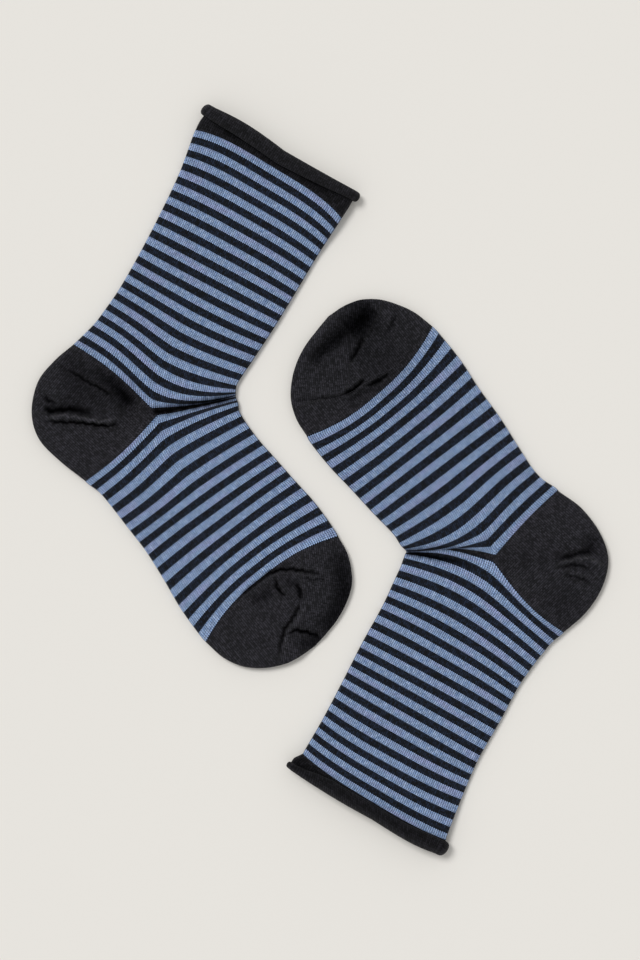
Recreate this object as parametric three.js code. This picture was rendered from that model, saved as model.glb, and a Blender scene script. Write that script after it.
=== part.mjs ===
// A pair of fine-knit striped socks with rolled cuffs, laid flat on a surface.
// The toes point opposite ways, so the second sock is the first one turned half round,
// with its own ankle angle and its own lie. Millimetres, +Z up. The origin is on the
// surface, at the middle of the pair.
import * as THREE from 'three';

// Cloth and lie
const wall = 1.2;          // one layer of knitted cloth
const seamGap = 0.3;       // between neighbouring pieces
const layerGap = 0.25;     // least room left between the two layers
const foldShare = 0.026;   // part of a course's width that turns round each folded edge
const ankleThick = 5.0;    // both layers and the air between them, at the ankle
const heelPuff = 1.8;      // extra height of the heel pocket
const puffRound = 0.7;     // below 1 the pocket stays high until close to the gusset
const gussetGap = 0.6;     // the heel's point stops this far short of the leg and the foot
const toeTuck = 0.03;      // how much sooner the cap's inside closes than its outside

// Cuff: the raw edge curls outwards into a roll, on both sides of the mouth
const curlRadius = 3.3;    // at the start of the curl
const curlShrink = 1.5;    // radius lost over a whole turn
const curlFlatten = 0.62;  // height of the roll over its width
const curlStart = -90;     // degrees, where the curl leaves the band
const curlEnd = 205;       // degrees, where the raw edge lies
const curlStep = 30;       // degrees between two rows of the curl
const mouthLook = 0.2;     // stripes below the mouth, where the curl's first direction is read
const liftReach = 5;       // stripes over which the leg comes down from the lower roll

// Stripes are counted from the cuff down the leg, and again from the ankle to the toe
const bandEnd = 0.7;       // the dark band ends where the first light stripe starts
const legEnd = 18.3;       // lower edge of the leg's last light stripe
const footStart = 0.7;     // upper edge of the foot's first light stripe
const footEnd = 13.3;      // lower edge of the foot's last light stripe

// Rows at which each piece is cut into rings, in stripes
const bandRows = [bandEnd, 0.35, 0];
const legRows = [bandEnd, 2, 3.5, 5, 7, 9, 11, 13, 14.5, 15.7, 16.6, 17.4, legEnd];
const footRows = [footStart, 1.2, 2, 3, 4.5, 6, 7.5, 9, 10.5, 12, footEnd];
const toeRows = [0, 0.3, 0.65, 1, 2, 3, 4, 5, 6];
const heelRays = [0, 0.12, 0.24, 0.36, 0.44, 0.5, 0.54, 0.58, 0.64, 0.74, 0.87, 1];
const heelTip = 0.975;     // how far a heel ray runs from the rim to the gusset
const lookAhead = 0.02;    // a small step along a table, to find the direction there

// Points of a ring: degrees round each folded edge, and shares of the width across
const foldTurns = [30, 60];
const topShares = [0, 0.1, 0.2, 0.3, 0.4, 0.5, 0.6, 0.7, 0.8, 0.9, 1];
const underShares = [1, 0.75, 0.5, 0.25, 0];

const darkYarn = new THREE.Color('#232327');
const stripedYarn = new THREE.Color('#5a6d9c');

// The lie of each sock. A row is one course: its ends on the calf or sole fold (back)
// and on the shin or instep fold (front), its middle, how round its sag is (1 is two
// straight halves, 2 a parabola, 3 a flat arc) and the sock's thickness there.
// Places are measured from the front notch of the ankle.
const socks = [
  {
    name: 'sock1',
    place: [-44.65, 44.08],
    turn: 0,
    curlSize: 1,
    leg: [
      { at: 0, back: [-13.9, 150.9], middle: [24.2, 127.4], front: [61.5, 105.9], round: 2, thick: 3.6 },
      { at: 0.35, back: [-18.2, 146.6], middle: [22.1, 124.9], front: [59.3, 100.4], round: 2.5, thick: 3.8 },
      { at: 0.7, back: [-21.1, 141.0], middle: [19.7, 121.5], front: [56.2, 94.4], round: 3, thick: 4.0 },
      { at: 1, back: [-22.0, 139.1], middle: [18.6, 119.8], front: [55.1, 92.5], round: 3, thick: 4.0 },
      { at: 4, back: [-29.8, 118.4], middle: [8.0, 99.6], front: [44.3, 76.1], round: 2.4, thick: 4.3 },
      { at: 7, back: [-39.8, 97.2], middle: [-3.2, 78.4], front: [33.0, 57.2], round: 2, thick: 4.4 },
      { at: 10, back: [-50.6, 76.3], middle: [-15.4, 57.2], front: [21.5, 38.2], round: 2, thick: 4.4 },
      { at: 13, back: [-61.8, 56.7], middle: [-28.1, 36.0], front: [9.4, 19.7], round: 1.5, thick: 4.6 },
      { at: 15, back: [-70.0, 44.8], middle: [-37.1, 21.2], front: [1.1, 7.1], round: 1.35, thick: 5.0 },
      { at: 16, back: [-74.2, 39.2], middle: [-40.0, 13.3], front: [0.2, 3.6], round: 1.35, thick: 5.2 },
      { at: 17, back: [-79.5, 33.7], middle: [-42.7, 5.0], front: [0.1, 1.4], round: 1.2, thick: 5.1 },
      { at: 18, back: [-84.8, 28.6], middle: [-44.3, -2.9], front: [0, 0.3], round: 1.05, thick: 5.0 },
      { at: 18.3, back: [-85.9, 27.6], middle: [-44.5, -6.4], front: [0, 0], round: 1, thick: 5.0 },
    ],
    foot: [
      { at: 0.7, back: [-79.8, -44.4], middle: [-44.5, -6.4], front: [0, 0], round: 1, thick: 5.0 },
      { at: 1, back: [-78.2, -46.0], middle: [-43.5, -12.5], front: [0.8, -2.4], round: 1.05, thick: 5.1 },
      { at: 2, back: [-72.1, -50.6], middle: [-39.2, -21.2], front: [1.4, -4.6], round: 1.15, thick: 5.2 },
      { at: 3, back: [-66.8, -56.7], middle: [-35.0, -28.6], front: [2.4, -8.7], round: 1.2, thick: 5.1 },
      { at: 5, back: [-57.0, -69.4], middle: [-24.4, -44.0], front: [11.0, -21.3], round: 1.6, thick: 4.7 },
      { at: 7, back: [-47.4, -81.9], middle: [-14.3, -56.7], front: [21.0, -32.7], round: 2, thick: 4.6 },
      { at: 9, back: [-38.2, -96.5], middle: [-4.8, -69.4], front: [30.7, -43.7], round: 2, thick: 4.6 },
      { at: 11, back: [-28.9, -112.4], middle: [4.2, -82.2], front: [42.4, -56.7], round: 1.5, thick: 4.8 },
      { at: 13, back: [-18.2, -127.2], middle: [12.7, -93.8], front: [52.7, -71.0], round: 1.8, thick: 5.1 },
      { at: 13.3, back: [-15.4, -130.2], middle: [14.0, -95.7], front: [54.4, -74.2], round: 1.9, thick: 5.2 },
    ],
    toe: [
      { at: 0, back: [-15.4, -130.2], middle: [14.0, -95.7], front: [54.4, -74.2], round: 1.9, thick: 5.2 },
      { at: 1, back: [-6.7, -137.9], middle: [22.8, -103.9], front: [58.8, -82.2], round: 2, thick: 6.3 },
      { at: 2, back: [3.6, -142.6], middle: [30.2, -112.9], front: [61.0, -90.1], round: 2, thick: 6.7 },
      { at: 3, back: [14.8, -143.6], middle: [36.6, -119.8], front: [61.5, -99.6], round: 2, thick: 6.7 },
      { at: 4, back: [25.3, -141.7], middle: [41.2, -125.0], front: [58.5, -109.4], round: 2, thick: 6.3 },
      { at: 5, back: [31.9, -138.8], middle: [42.6, -128.6], front: [53.4, -118.6], round: 2, thick: 5.4 },
      { at: 6, back: [36.4, -136.0], middle: [41.7, -131.2], front: [47.0, -126.6], round: 2, thick: 3.2 },
    ],
    toeEnd: [41.9, -132.1],
    heelRim: [
      [-85.9, 27.6], [-96.1, 18.8], [-104.7, 7.6], [-107.9, -8.2],
      [-104.1, -22.3], [-93.0, -34.0], [-79.8, -44.4],
    ],
    // A fold runs along its points; it is a trough where its height is negative
    folds: [
      { name: 'ankle', run: [[-42, -7.2], [-22, -3.6], [4, -0.6]], width: 3.6, height: -2.0 },
      { name: 'heel upper trough', run: [[-101, -3.5], [-88, -7.4], [-74, -8.4]], width: 2.4, height: -1.5 },
      { name: 'heel ridge', run: [[-100, -10.0], [-80, -10.6], [-62, -11.6]], width: 2.2, height: 1.0 },
      { name: 'heel lower trough', run: [[-99, -13.4], [-82, -14.2], [-62, -14.2]], width: 2.4, height: -1.3 },
      { name: 'toe arc', run: [[9, -101], [20, -94.6], [36, -92.4], [49, -95]], width: 2.6, height: -1.3 },
      { name: 'toe crease', run: [[33, -97], [33, -110], [25, -125], [22, -138]], width: 2.6, height: -1.1 },
    ],
  },
  {
    name: 'sock2',
    place: [45.65, -38.12],
    turn: 180,
    curlSize: 1.12,
    leg: [
      { at: 0, back: [-16.8, 156.3], middle: [18.7, 138.5], front: [57.8, 115.9], round: 2, thick: 3.6 },
      { at: 0.35, back: [-19.6, 154.2], middle: [19.0, 135.0], front: [57.4, 111.4], round: 2.2, thick: 3.8 },
      { at: 0.7, back: [-20.9, 152.1], middle: [19.3, 131.3], front: [54.9, 106.5], round: 2.4, thick: 4.0 },
      { at: 1, back: [-21.2, 150.5], middle: [18.3, 129.6], front: [54.1, 105.2], round: 2.4, thick: 4.0 },
      { at: 4, back: [-29.8, 129.0], middle: [8.7, 110.2], front: [44.0, 88.0], round: 2.2, thick: 4.3 },
      { at: 7, back: [-38.3, 109.5], middle: [-1.9, 89.0], front: [33.7, 68.4], round: 2, thick: 4.4 },
      { at: 10, back: [-49.9, 89.1], middle: [-13.5, 68.4], front: [23.6, 48.5], round: 2, thick: 4.4 },
      { at: 13, back: [-59.9, 70.5], middle: [-24.6, 47.2], front: [12.4, 28.1], round: 1.8, thick: 4.6 },
      { at: 15, back: [-68.1, 58.8], middle: [-33.1, 32.9], front: [6.3, 14.9], round: 1.6, thick: 5.0 },
      { at: 16, back: [-72.3, 53.5], middle: [-37.4, 25.4], front: [3.1, 8.2], round: 1.5, thick: 5.2 },
      { at: 17, back: [-76.9, 48.0], middle: [-41.6, 18.0], front: [0.9, 2.7], round: 1.35, thick: 5.1 },
      { at: 18, back: [-82.3, 43.6], middle: [-45.2, 9.3], front: [0.1, 0.5], round: 1.05, thick: 5.0 },
      { at: 18.3, back: [-83.5, 42.4], middle: [-46.4, 4.8], front: [0, 0], round: 1, thick: 5.0 },
    ],
    foot: [
      { at: 0.7, back: [-80.5, -32.3], middle: [-46.4, 4.8], front: [0, 0], round: 1, thick: 5.0 },
      { at: 1, back: [-79.1, -34.0], middle: [-44.0, -0.8], front: [0.4, -1.0], round: 1.05, thick: 5.1 },
      { at: 2, back: [-72.3, -38.4], middle: [-41.1, -8.5], front: [1.1, -2.2], round: 1.15, thick: 5.2 },
      { at: 3, back: [-67.0, -44.0], middle: [-36.8, -16.7], front: [2.1, -3.6], round: 1.2, thick: 5.1 },
      { at: 5, back: [-58.1, -57.7], middle: [-26.8, -32.3], front: [6.9, -10.0], round: 1.6, thick: 4.7 },
      { at: 7, back: [-49.3, -71.6], middle: [-15.6, -46.1], front: [17.7, -20.7], round: 2, thick: 4.6 },
      { at: 9, back: [-38.4, -86.7], middle: [-5.6, -59.4], front: [29.0, -33.0], round: 2, thick: 4.6 },
      { at: 11, back: [-28.4, -102.0], middle: [4.5, -71.6], front: [41.1, -45.8], round: 1.5, thick: 4.8 },
      { at: 13, back: [-15.6, -117.8], middle: [13.5, -82.2], front: [51.4, -58.8], round: 1.8, thick: 5.1 },
      { at: 13.3, back: [-13.6, -119.6], middle: [14.6, -84.5], front: [52.7, -61.5], round: 1.9, thick: 5.2 },
    ],
    toe: [
      { at: 0, back: [-13.6, -119.6], middle: [14.6, -84.5], front: [52.7, -61.5], round: 1.9, thick: 5.2 },
      { at: 1, back: [-4.5, -126.7], middle: [23.1, -93.3], front: [58.0, -70.0], round: 2, thick: 6.3 },
      { at: 2, back: [4.5, -130.9], middle: [30.5, -102.3], front: [61.0, -80.0], round: 2, thick: 6.7 },
      { at: 3, back: [14.0, -133.6], middle: [36.0, -110.2], front: [60.7, -90.1], round: 2, thick: 6.7 },
      { at: 4, back: [23.6, -133.6], middle: [40.3, -116.1], front: [58.0, -100.2], round: 2, thick: 6.3 },
      { at: 5, back: [30.5, -131.4], middle: [42.0, -120.4], front: [53.3, -109.4], round: 2, thick: 5.4 },
      { at: 6, back: [35.0, -129.1], middle: [40.9, -123.9], front: [46.4, -118.5], round: 2, thick: 3.2 },
    ],
    toeEnd: [41.3, -124.7],
    heelRim: [
      [-83.5, 42.4], [-94.8, 32.3], [-103.4, 19.2], [-106.9, 4.6],
      [-102.9, -9.3], [-92.9, -23.0], [-80.5, -32.3],
    ],
    folds: [
      { name: 'ankle', run: [[-44, 3.8], [-22, 1.4], [4, -0.3]], width: 3.6, height: -2.0 },
      { name: 'heel trough', run: [[-100, 2.5], [-90, 2.2], [-78, 4.4]], width: 2.6, height: -1.3 },
      { name: 'heel ridge', run: [[-104, 6.6], [-93, 3.8], [-79, 7.4]], width: 2.4, height: 0.9 },
      { name: 'toe hollow', run: [[19, -128], [36, -117], [50, -97.5]], width: 5, height: -1.2 },
      { name: 'toe crease', run: [[10, -92], [22, -88.6], [38, -82], [52, -79.6]], width: 2.6, height: -1.2 },
    ],
  },
];

const degrees = Math.PI / 180;
const mix = (a, b, share) => a + (b - a) * share;
const mixPoint = (a, b, share) => [mix(a[0], b[0], share), mix(a[1], b[1], share)];
const smooth = (share) => {
  const s = Math.min(Math.max(share, 0), 1);
  return s * s * (3 - 2 * s);
};
const unit = (x, y) => {
  const length = Math.hypot(x, y) || 1;
  return [x / length, y / length];
};

// A smooth curve through values at uneven stations
function curveThrough(stations, values, at) {
  const last = stations.length - 1;
  let i = 0;
  while (i < last - 1 && at > stations[i + 1]) i += 1;
  const slope = (k) => {
    const a = Math.max(k - 1, 0);
    const b = Math.min(k + 1, last);
    return (values[b] - values[a]) / (stations[b] - stations[a]);
  };
  const span = stations[i + 1] - stations[i];
  const s = (at - stations[i]) / span;
  const rise = values[i + 1] - values[i];
  const startSlope = slope(i) * span;
  const endSlope = slope(i + 1) * span;
  const bend = s * (1 - s);
  return values[i] + rise * s + bend * ((1 - s) * (startSlope - rise) - s * (endSlope - rise));
}

// The row of a lie table at any place along it
function rowAt(rows, at) {
  const stations = rows.map((row) => row.at);
  const value = (read) => curveThrough(stations, rows.map(read), at);
  return {
    back: [value((row) => row.back[0]), value((row) => row.back[1])],
    middle: [value((row) => row.middle[0]), value((row) => row.middle[1])],
    front: [value((row) => row.front[0]), value((row) => row.front[1])],
    round: value((row) => row.round),
    thick: value((row) => row.thick),
  };
}

// A course seen from above, from its back end (0) to its front end (1)
function coursePoint(row, across) {
  const sag = 1 - Math.abs(2 * across - 1) ** row.round;
  const chord = mixPoint(row.back, row.front, across);
  const centre = mixPoint(row.back, row.front, 0.5);
  return [
    chord[0] + (row.middle[0] - centre[0]) * sag,
    chord[1] + (row.middle[1] - centre[1]) * sag,
  ];
}

// One point of the ring list: where it lies across and how high, -1 under to 1 on top
function ringPoints(edge) {
  const inner = (share) => edge + (1 - 2 * edge) * share;
  const turned = (turn) => edge * (1 - Math.cos(turn * degrees));
  const rise = (turn) => Math.sin(turn * degrees);
  const away = [...foldTurns].reverse();
  return [
    { across: 0, high: 0 },
    ...foldTurns.map((turn) => ({ across: turned(turn), high: rise(turn) })),
    ...topShares.map((share) => ({ across: inner(share), high: 1 })),
    ...away.map((turn) => ({ across: 1 - turned(turn), high: rise(turn) })),
    { across: 1, high: 0 },
    ...foldTurns.map((turn) => ({ across: 1 - turned(turn), high: -rise(turn) })),
    ...underShares.map((share) => ({ across: inner(share), high: -1 })),
    ...away.map((turn) => ({ across: turned(turn), high: -rise(turn) })),
  ];
}

// Nearest distance from a point to a run of points, and how far along the run it lies
function nearRun(run, x, y) {
  let best = { distance: Infinity, along: 0 };
  for (let i = 0; i < run.length - 1; i += 1) {
    const [ax, ay] = run[i];
    const [bx, by] = run[i + 1];
    const length2 = (bx - ax) ** 2 + (by - ay) ** 2;
    const share = Math.min(Math.max(((x - ax) * (bx - ax) + (y - ay) * (by - ay)) / length2, 0), 1);
    const distance = Math.hypot(x - mix(ax, bx, share), y - mix(ay, by, share));
    if (distance < best.distance) best = { distance, along: (i + share) / (run.length - 1) };
  }
  return best;
}

// Height that the folds add on the upper layer
function foldHeight(sock, x, y) {
  let height = 0;
  for (const fold of sock.folds) {
    const { distance } = nearRun(fold.run, x, y);
    height += fold.height * Math.exp(-((distance / fold.width) ** 2));
  }
  return height;
}

// Height of a ring point on the outside (depth 0) or the inside (depth wall) of the cloth
function heightAt(sock, xy, high, thick, lift, depth) {
  const half = thick / 2;
  const fold = high > 0 ? foldHeight(sock, xy[0], xy[1]) * high : 0;
  const lowest = 2 * wall + layerGap - thick;
  return lift + half + (half - depth) * high + Math.max(fold, Math.min(lowest, 0) * Math.max(high, 0));
}

// Moves a share of the width in from both folded edges by the wall's thickness
function insetAcross(across, depth, width) {
  const share = depth / width;
  return share + (1 - 2 * share) * across;
}

function widthOf(row) {
  return Math.hypot(row.front[0] - row.back[0], row.front[1] - row.back[1]);
}

const curlRise = (size) => curlFlatten * size * (2 * curlRadius - curlShrink / 2);

function liftAt(sock, at) {
  return curlRise(sock.curlSize) * (1 - smooth(at / liftReach));
}

// The ring of a tube at a station, moved along the tube by a small nudge
function tubeRing(sock, rows, at, depth, nudge, lift) {
  const row = rowAt(rows, at);
  const next = rowAt(rows, at + lookAhead);
  const width = widthOf(row);
  return ringPoints(foldShare).map(({ across, high }) => {
    const share = insetAcross(across, depth, width);
    const here = coursePoint(row, share);
    const there = coursePoint(next, share);
    const way = unit(there[0] - here[0], there[1] - here[1]);
    const x = here[0] + way[0] * nudge;
    const y = here[1] + way[1] * nudge;
    return new THREE.Vector3(x, y, heightAt(sock, [x, y], high, row.thick, lift, depth));
  });
}

// Joins an outer and an inner grid of points into one closed wall. Each grid is a list
// of rows; closed grids join the last point of a row to its first. Tips close the end.
function wallGeometry(outer, inner, { closed, tips }) {
  const positions = [];
  const indices = [];
  const rowCount = outer.length;
  const pointCount = outer[0].length;
  for (const grid of [outer, inner]) {
    for (const row of grid) for (const p of row) positions.push(p.x, p.y, p.z);
  }
  const out = (i, j) => i * pointCount + (j % pointCount);
  const ins = (i, j) => rowCount * pointCount + out(i, j);
  const quad = (a, b, c, d) => indices.push(a, b, c, a, c, d);
  const steps = closed ? pointCount : pointCount - 1;
  for (let j = 0; j < steps; j += 1) {
    for (let i = 0; i < rowCount - 1; i += 1) {
      quad(out(i, j), out(i + 1, j), out(i + 1, j + 1), out(i, j + 1));
      quad(ins(i, j), ins(i, j + 1), ins(i + 1, j + 1), ins(i + 1, j));
    }
    quad(out(0, j), out(0, j + 1), ins(0, j + 1), ins(0, j));
    const end = rowCount - 1;
    if (!tips) quad(out(end, j), ins(end, j), ins(end, j + 1), out(end, j + 1));
  }
  if (!closed) {
    const edge = pointCount - 1;
    for (let i = 0; i < rowCount - 1; i += 1) {
      quad(out(i, 0), ins(i, 0), ins(i + 1, 0), out(i + 1, 0));
      quad(out(i, edge), out(i + 1, edge), ins(i + 1, edge), ins(i, edge));
    }
  }
  if (tips) {
    const outTip = positions.length / 3;
    const inTip = outTip + 1;
    for (const p of tips) positions.push(p.x, p.y, p.z);
    const end = rowCount - 1;
    for (let j = 0; j < pointCount; j += 1) {
      indices.push(out(end, j), outTip, out(end, j + 1));
      indices.push(ins(end, j), ins(end, j + 1), inTip);
    }
  }
  const geometry = new THREE.BufferGeometry();
  geometry.setAttribute('position', new THREE.Float32BufferAttribute(positions, 3));
  geometry.setIndex(indices);
  geometry.computeVertexNormals();
  return geometry;
}

function pieceMesh(name, geometry, color) {
  const cloth = new THREE.MeshStandardMaterial({ color, roughness: 0.95, metalness: 0 });
  cloth.name = `${name} yarn`;
  const mesh = new THREE.Mesh(geometry, cloth);
  mesh.name = name;
  return mesh;
}

function tubeWall(sock, rows, stations) {
  const ring = (depth) => (at, i) => {
    const lift = rows === sock.leg ? liftAt(sock, at) : 0;
    return tubeRing(sock, rows, at, depth, i === 0 ? seamGap : 0, lift);
  };
  return wallGeometry(stations.map(ring(0)), stations.map(ring(wall)), { closed: true });
}

function makeLeg(sock) {
  return pieceMesh(`${sock.name}_leg`, tubeWall(sock, sock.leg, legRows), stripedYarn);
}

function makeFoot(sock) {
  return pieceMesh(`${sock.name}_foot`, tubeWall(sock, sock.foot, footRows), stripedYarn);
}

// The heel pocket is a fan of rays from the gusset to the rim, on top and under
function makeHeel(sock) {
  const legLast = sock.leg[sock.leg.length - 1];
  const footFirst = sock.foot[0];
  const rimMiddle = sock.heelRim[(sock.heelRim.length - 1) / 2];
  const toGusset = unit(legLast.middle[0] - rimMiddle[0], legLast.middle[1] - rimMiddle[1]);
  const gusset = [
    mix(legLast.middle[0], footFirst.middle[0], 0.5) - toGusset[0] * gussetGap,
    mix(legLast.middle[1], footFirst.middle[1], 0.5) - toGusset[1] * gussetGap,
  ];
  const stations = sock.heelRim.map((point, i) => i / (sock.heelRim.length - 1));
  const rimAt = (t) => [0, 1].map((k) => curveThrough(stations, sock.heelRim.map((p) => p[k]), t));
  const half = ringPoints(foldShare).filter(({ across }) => across <= 0.5);
  const middleOfUnder = half.findIndex(({ across, high }) => high === -1 && across === 0.5);
  const points = [...half.slice(middleOfUnder), ...half.slice(0, middleOfUnder)];
  const gridAt = (depth) => heelRays.map((t) => {
    const rim = rimAt(t);
    const ahead = rimAt(t + lookAhead);
    const along = unit(ahead[0] - rim[0], ahead[1] - rim[1]);
    const nudge = t === 0 ? seamGap : 0;
    const start = [rim[0] + along[0] * nudge, rim[1] + along[1] * nudge];
    const width = 2 * Math.hypot(gusset[0] - start[0], gusset[1] - start[1]);
    return points.map(({ across, high }) => {
      const share = Math.min(2 * insetAcross(across, depth, width), heelTip);
      const [x, y] = mixPoint(start, gusset, share);
      const puff = heelPuff * Math.sin(Math.PI * t) * Math.cos((Math.PI / 2) * share) ** puffRound;
      return new THREE.Vector3(x, y, heightAt(sock, [x, y], high, ankleThick + puff, 0, depth));
    });
  });
  return pieceMesh(`${sock.name}_heel`, wallGeometry(gridAt(0), gridAt(wall), { closed: false }), darkYarn);
}

function makeToe(sock) {
  const last = toeRows[toeRows.length - 1];
  const gridAt = (depth) => toeRows.map((at, i) => {
    const station = depth > 0 ? at * (1 - toeTuck * (at / last)) : at;
    return tubeRing(sock, sock.toe, station, depth, i === 0 ? seamGap : 0, 0);
  });
  const tipHeight = sock.toe[sock.toe.length - 1].thick / 2;
  const inward = mixPoint(sock.toeEnd, sock.toe[last].middle, 0.5);
  const tips = [
    new THREE.Vector3(...sock.toeEnd, tipHeight),
    new THREE.Vector3(...inward, tipHeight),
  ];
  return pieceMesh(`${sock.name}_toe`, wallGeometry(gridAt(0), gridAt(wall), { closed: true, tips }), darkYarn);
}

// The band, then the curl. The curl leaves the mouth along the wall's own direction and
// turns towards the outside of the sock all round.
function makeCuff(sock) {
  const outer = [];
  const inner = [];
  for (const at of bandRows) {
    outer.push(tubeRing(sock, sock.leg, at, 0, 0, liftAt(sock, at)));
    inner.push(tubeRing(sock, sock.leg, at, wall, 0, liftAt(sock, at)));
  }
  const mouthOut = outer[outer.length - 1];
  const mouthIn = inner[inner.length - 1];
  const before = tubeRing(sock, sock.leg, mouthLook, wall / 2, 0, liftAt(sock, 0));
  const middle = mouthOut.map((p, j) => p.clone().add(mouthIn[j]).multiplyScalar(0.5));
  const count = middle.length;
  const frames = middle.map((p, j) => {
    const way = p.clone().sub(before[j]).setZ(0).normalize();
    const along = middle[(j + 1) % count].clone().sub(middle[(j + count - 1) % count]).normalize();
    return { way, outward: along.cross(way).normalize() };
  });
  const curlPoint = (turn) => {
    const radius = (curlRadius - (curlShrink * (turn - curlStart)) / 360) * sock.curlSize;
    const start = curlRadius * sock.curlSize;
    return [
      radius * Math.cos(turn * degrees),
      curlFlatten * (start + radius * Math.sin(turn * degrees)),
    ];
  };
  for (let turn = curlStart + curlStep; turn < curlEnd + curlStep; turn += curlStep) {
    const here = curlPoint(Math.min(turn, curlEnd));
    const next = curlPoint(Math.min(turn, curlEnd) + 1);
    const way = unit(next[0] - here[0], next[1] - here[1]);
    const side = (offset) => frames.map((frame, j) => {
      const run = here[0] - way[1] * offset;
      const rise = here[1] + way[0] * offset;
      const p = middle[j].clone().addScaledVector(frame.way, run).addScaledVector(frame.outward, rise);
      return p.setZ(Math.max(p.z, 0));
    });
    outer.push(side(wall / 2));
    inner.push(side(-wall / 2));
  }
  // Rows run from the raw edge down to the leg, as they do in the other tubes
  outer.reverse();
  inner.reverse();
  return pieceMesh(`${sock.name}_cuff`, wallGeometry(outer, inner, { closed: true }), darkYarn);
}

const pair = new THREE.Group();
for (const sock of socks) {
  const group = new THREE.Group();
  group.add(makeCuff(sock), makeLeg(sock), makeHeel(sock), makeFoot(sock), makeToe(sock));
  group.position.set(sock.place[0], sock.place[1], 0);
  group.rotation.z = sock.turn * degrees;
  pair.add(group);
}

export default pair;
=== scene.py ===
# A pair of fine-knit striped socks with rolled cuffs, laid flat, toes opposite ways.
# Each sock is knitted in the round: cuff, leg, heel pocket, foot and toe cap.
# Lies and sizes are in millimetres from each ankle's front notch; meshes are in metres.
import math
import random

import bpy
import bmesh
import numpy as np
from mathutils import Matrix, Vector
from mathutils.bvhtree import BVHTree


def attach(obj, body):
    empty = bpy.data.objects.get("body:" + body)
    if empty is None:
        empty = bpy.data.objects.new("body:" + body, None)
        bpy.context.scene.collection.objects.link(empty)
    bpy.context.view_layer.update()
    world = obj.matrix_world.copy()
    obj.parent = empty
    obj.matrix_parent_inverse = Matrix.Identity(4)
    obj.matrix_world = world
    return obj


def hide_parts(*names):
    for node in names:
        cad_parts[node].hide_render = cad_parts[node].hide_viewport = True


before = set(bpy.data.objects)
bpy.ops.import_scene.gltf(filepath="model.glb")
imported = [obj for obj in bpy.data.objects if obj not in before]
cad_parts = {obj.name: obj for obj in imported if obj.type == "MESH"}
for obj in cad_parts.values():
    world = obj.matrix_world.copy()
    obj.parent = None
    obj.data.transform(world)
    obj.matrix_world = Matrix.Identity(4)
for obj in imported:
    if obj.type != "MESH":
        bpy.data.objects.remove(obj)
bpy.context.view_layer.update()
print("frame loaded,", len(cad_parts), "nodes")

mm = 0.001  # metres in a millimetre

# The knit, as it lies relaxed
knit = {
    "wall": 1.1,             # mm, one layer of cloth
    "wales": 92,             # wales across the flat sock, so twice as many go round
    "coursesPerStripe": 11,  # courses from one light stripe to the next
    "waleWidth": 0.95,       # mm
    "courseHeight": 0.74,    # mm
    "lightShare": 0.485,     # of a stripe's repeat that is knitted in the blue yarn
    "drawnWales": 0.85,      # wales and courses are drawn this much fewer, or they would be
    "drawnCourses": 0.82,    # finer than a picture's pixel and wouldn't show
}

# How a flattened tube lies, both socks alike
lie = {
    "foldShare": 0.026,      # of a course's width that turns round each folded edge
    "flatThick": 3.4,        # mm, where the upper layer lies level right up to its folds
    "edgeFall": 0.55,        # of what is thicker than that, lost towards each fold
    "edgeReach": 4.5,        # mm from the fold where that starts, and so many mm more for
    "reachGrowth": 1.5,      # each mm that the place is thicker
    "middleSink": 0.5,       # mm that the upper layer sinks between the folds
    "sinkRound": 0.8,        # below 1 the sink is flatter in its middle
    "leastGap": 0.25,        # mm between the two layers
    "softBend": 0.22,        # how far a bent course rounds its corner, as a share of its half
    "bendFrom": 0.2,         # a sag that is rounder than 1 by this much has all of that
    "floorRound": 0.8,       # mm, how softly a trough ends where it meets the lower layer
    "underShare": 0.3,       # of a trough's depth that the under side has too
    "underShift": (1.3, -0.9),  # mm that it has strayed there
}

# Where each piece starts and ends, in stripes from the cuff or from the ankle
bandEnd, legEnd, footStart, footEnd = 0.7, 18.3, 0.7, 13.3

# Mesh steps: millimetres between points along and across the upper side, and under it
fine = {"along": 0.95, "across": 0.9, "under": 2.4, "foldSteps": 6, "pocket": 0.55}

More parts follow.
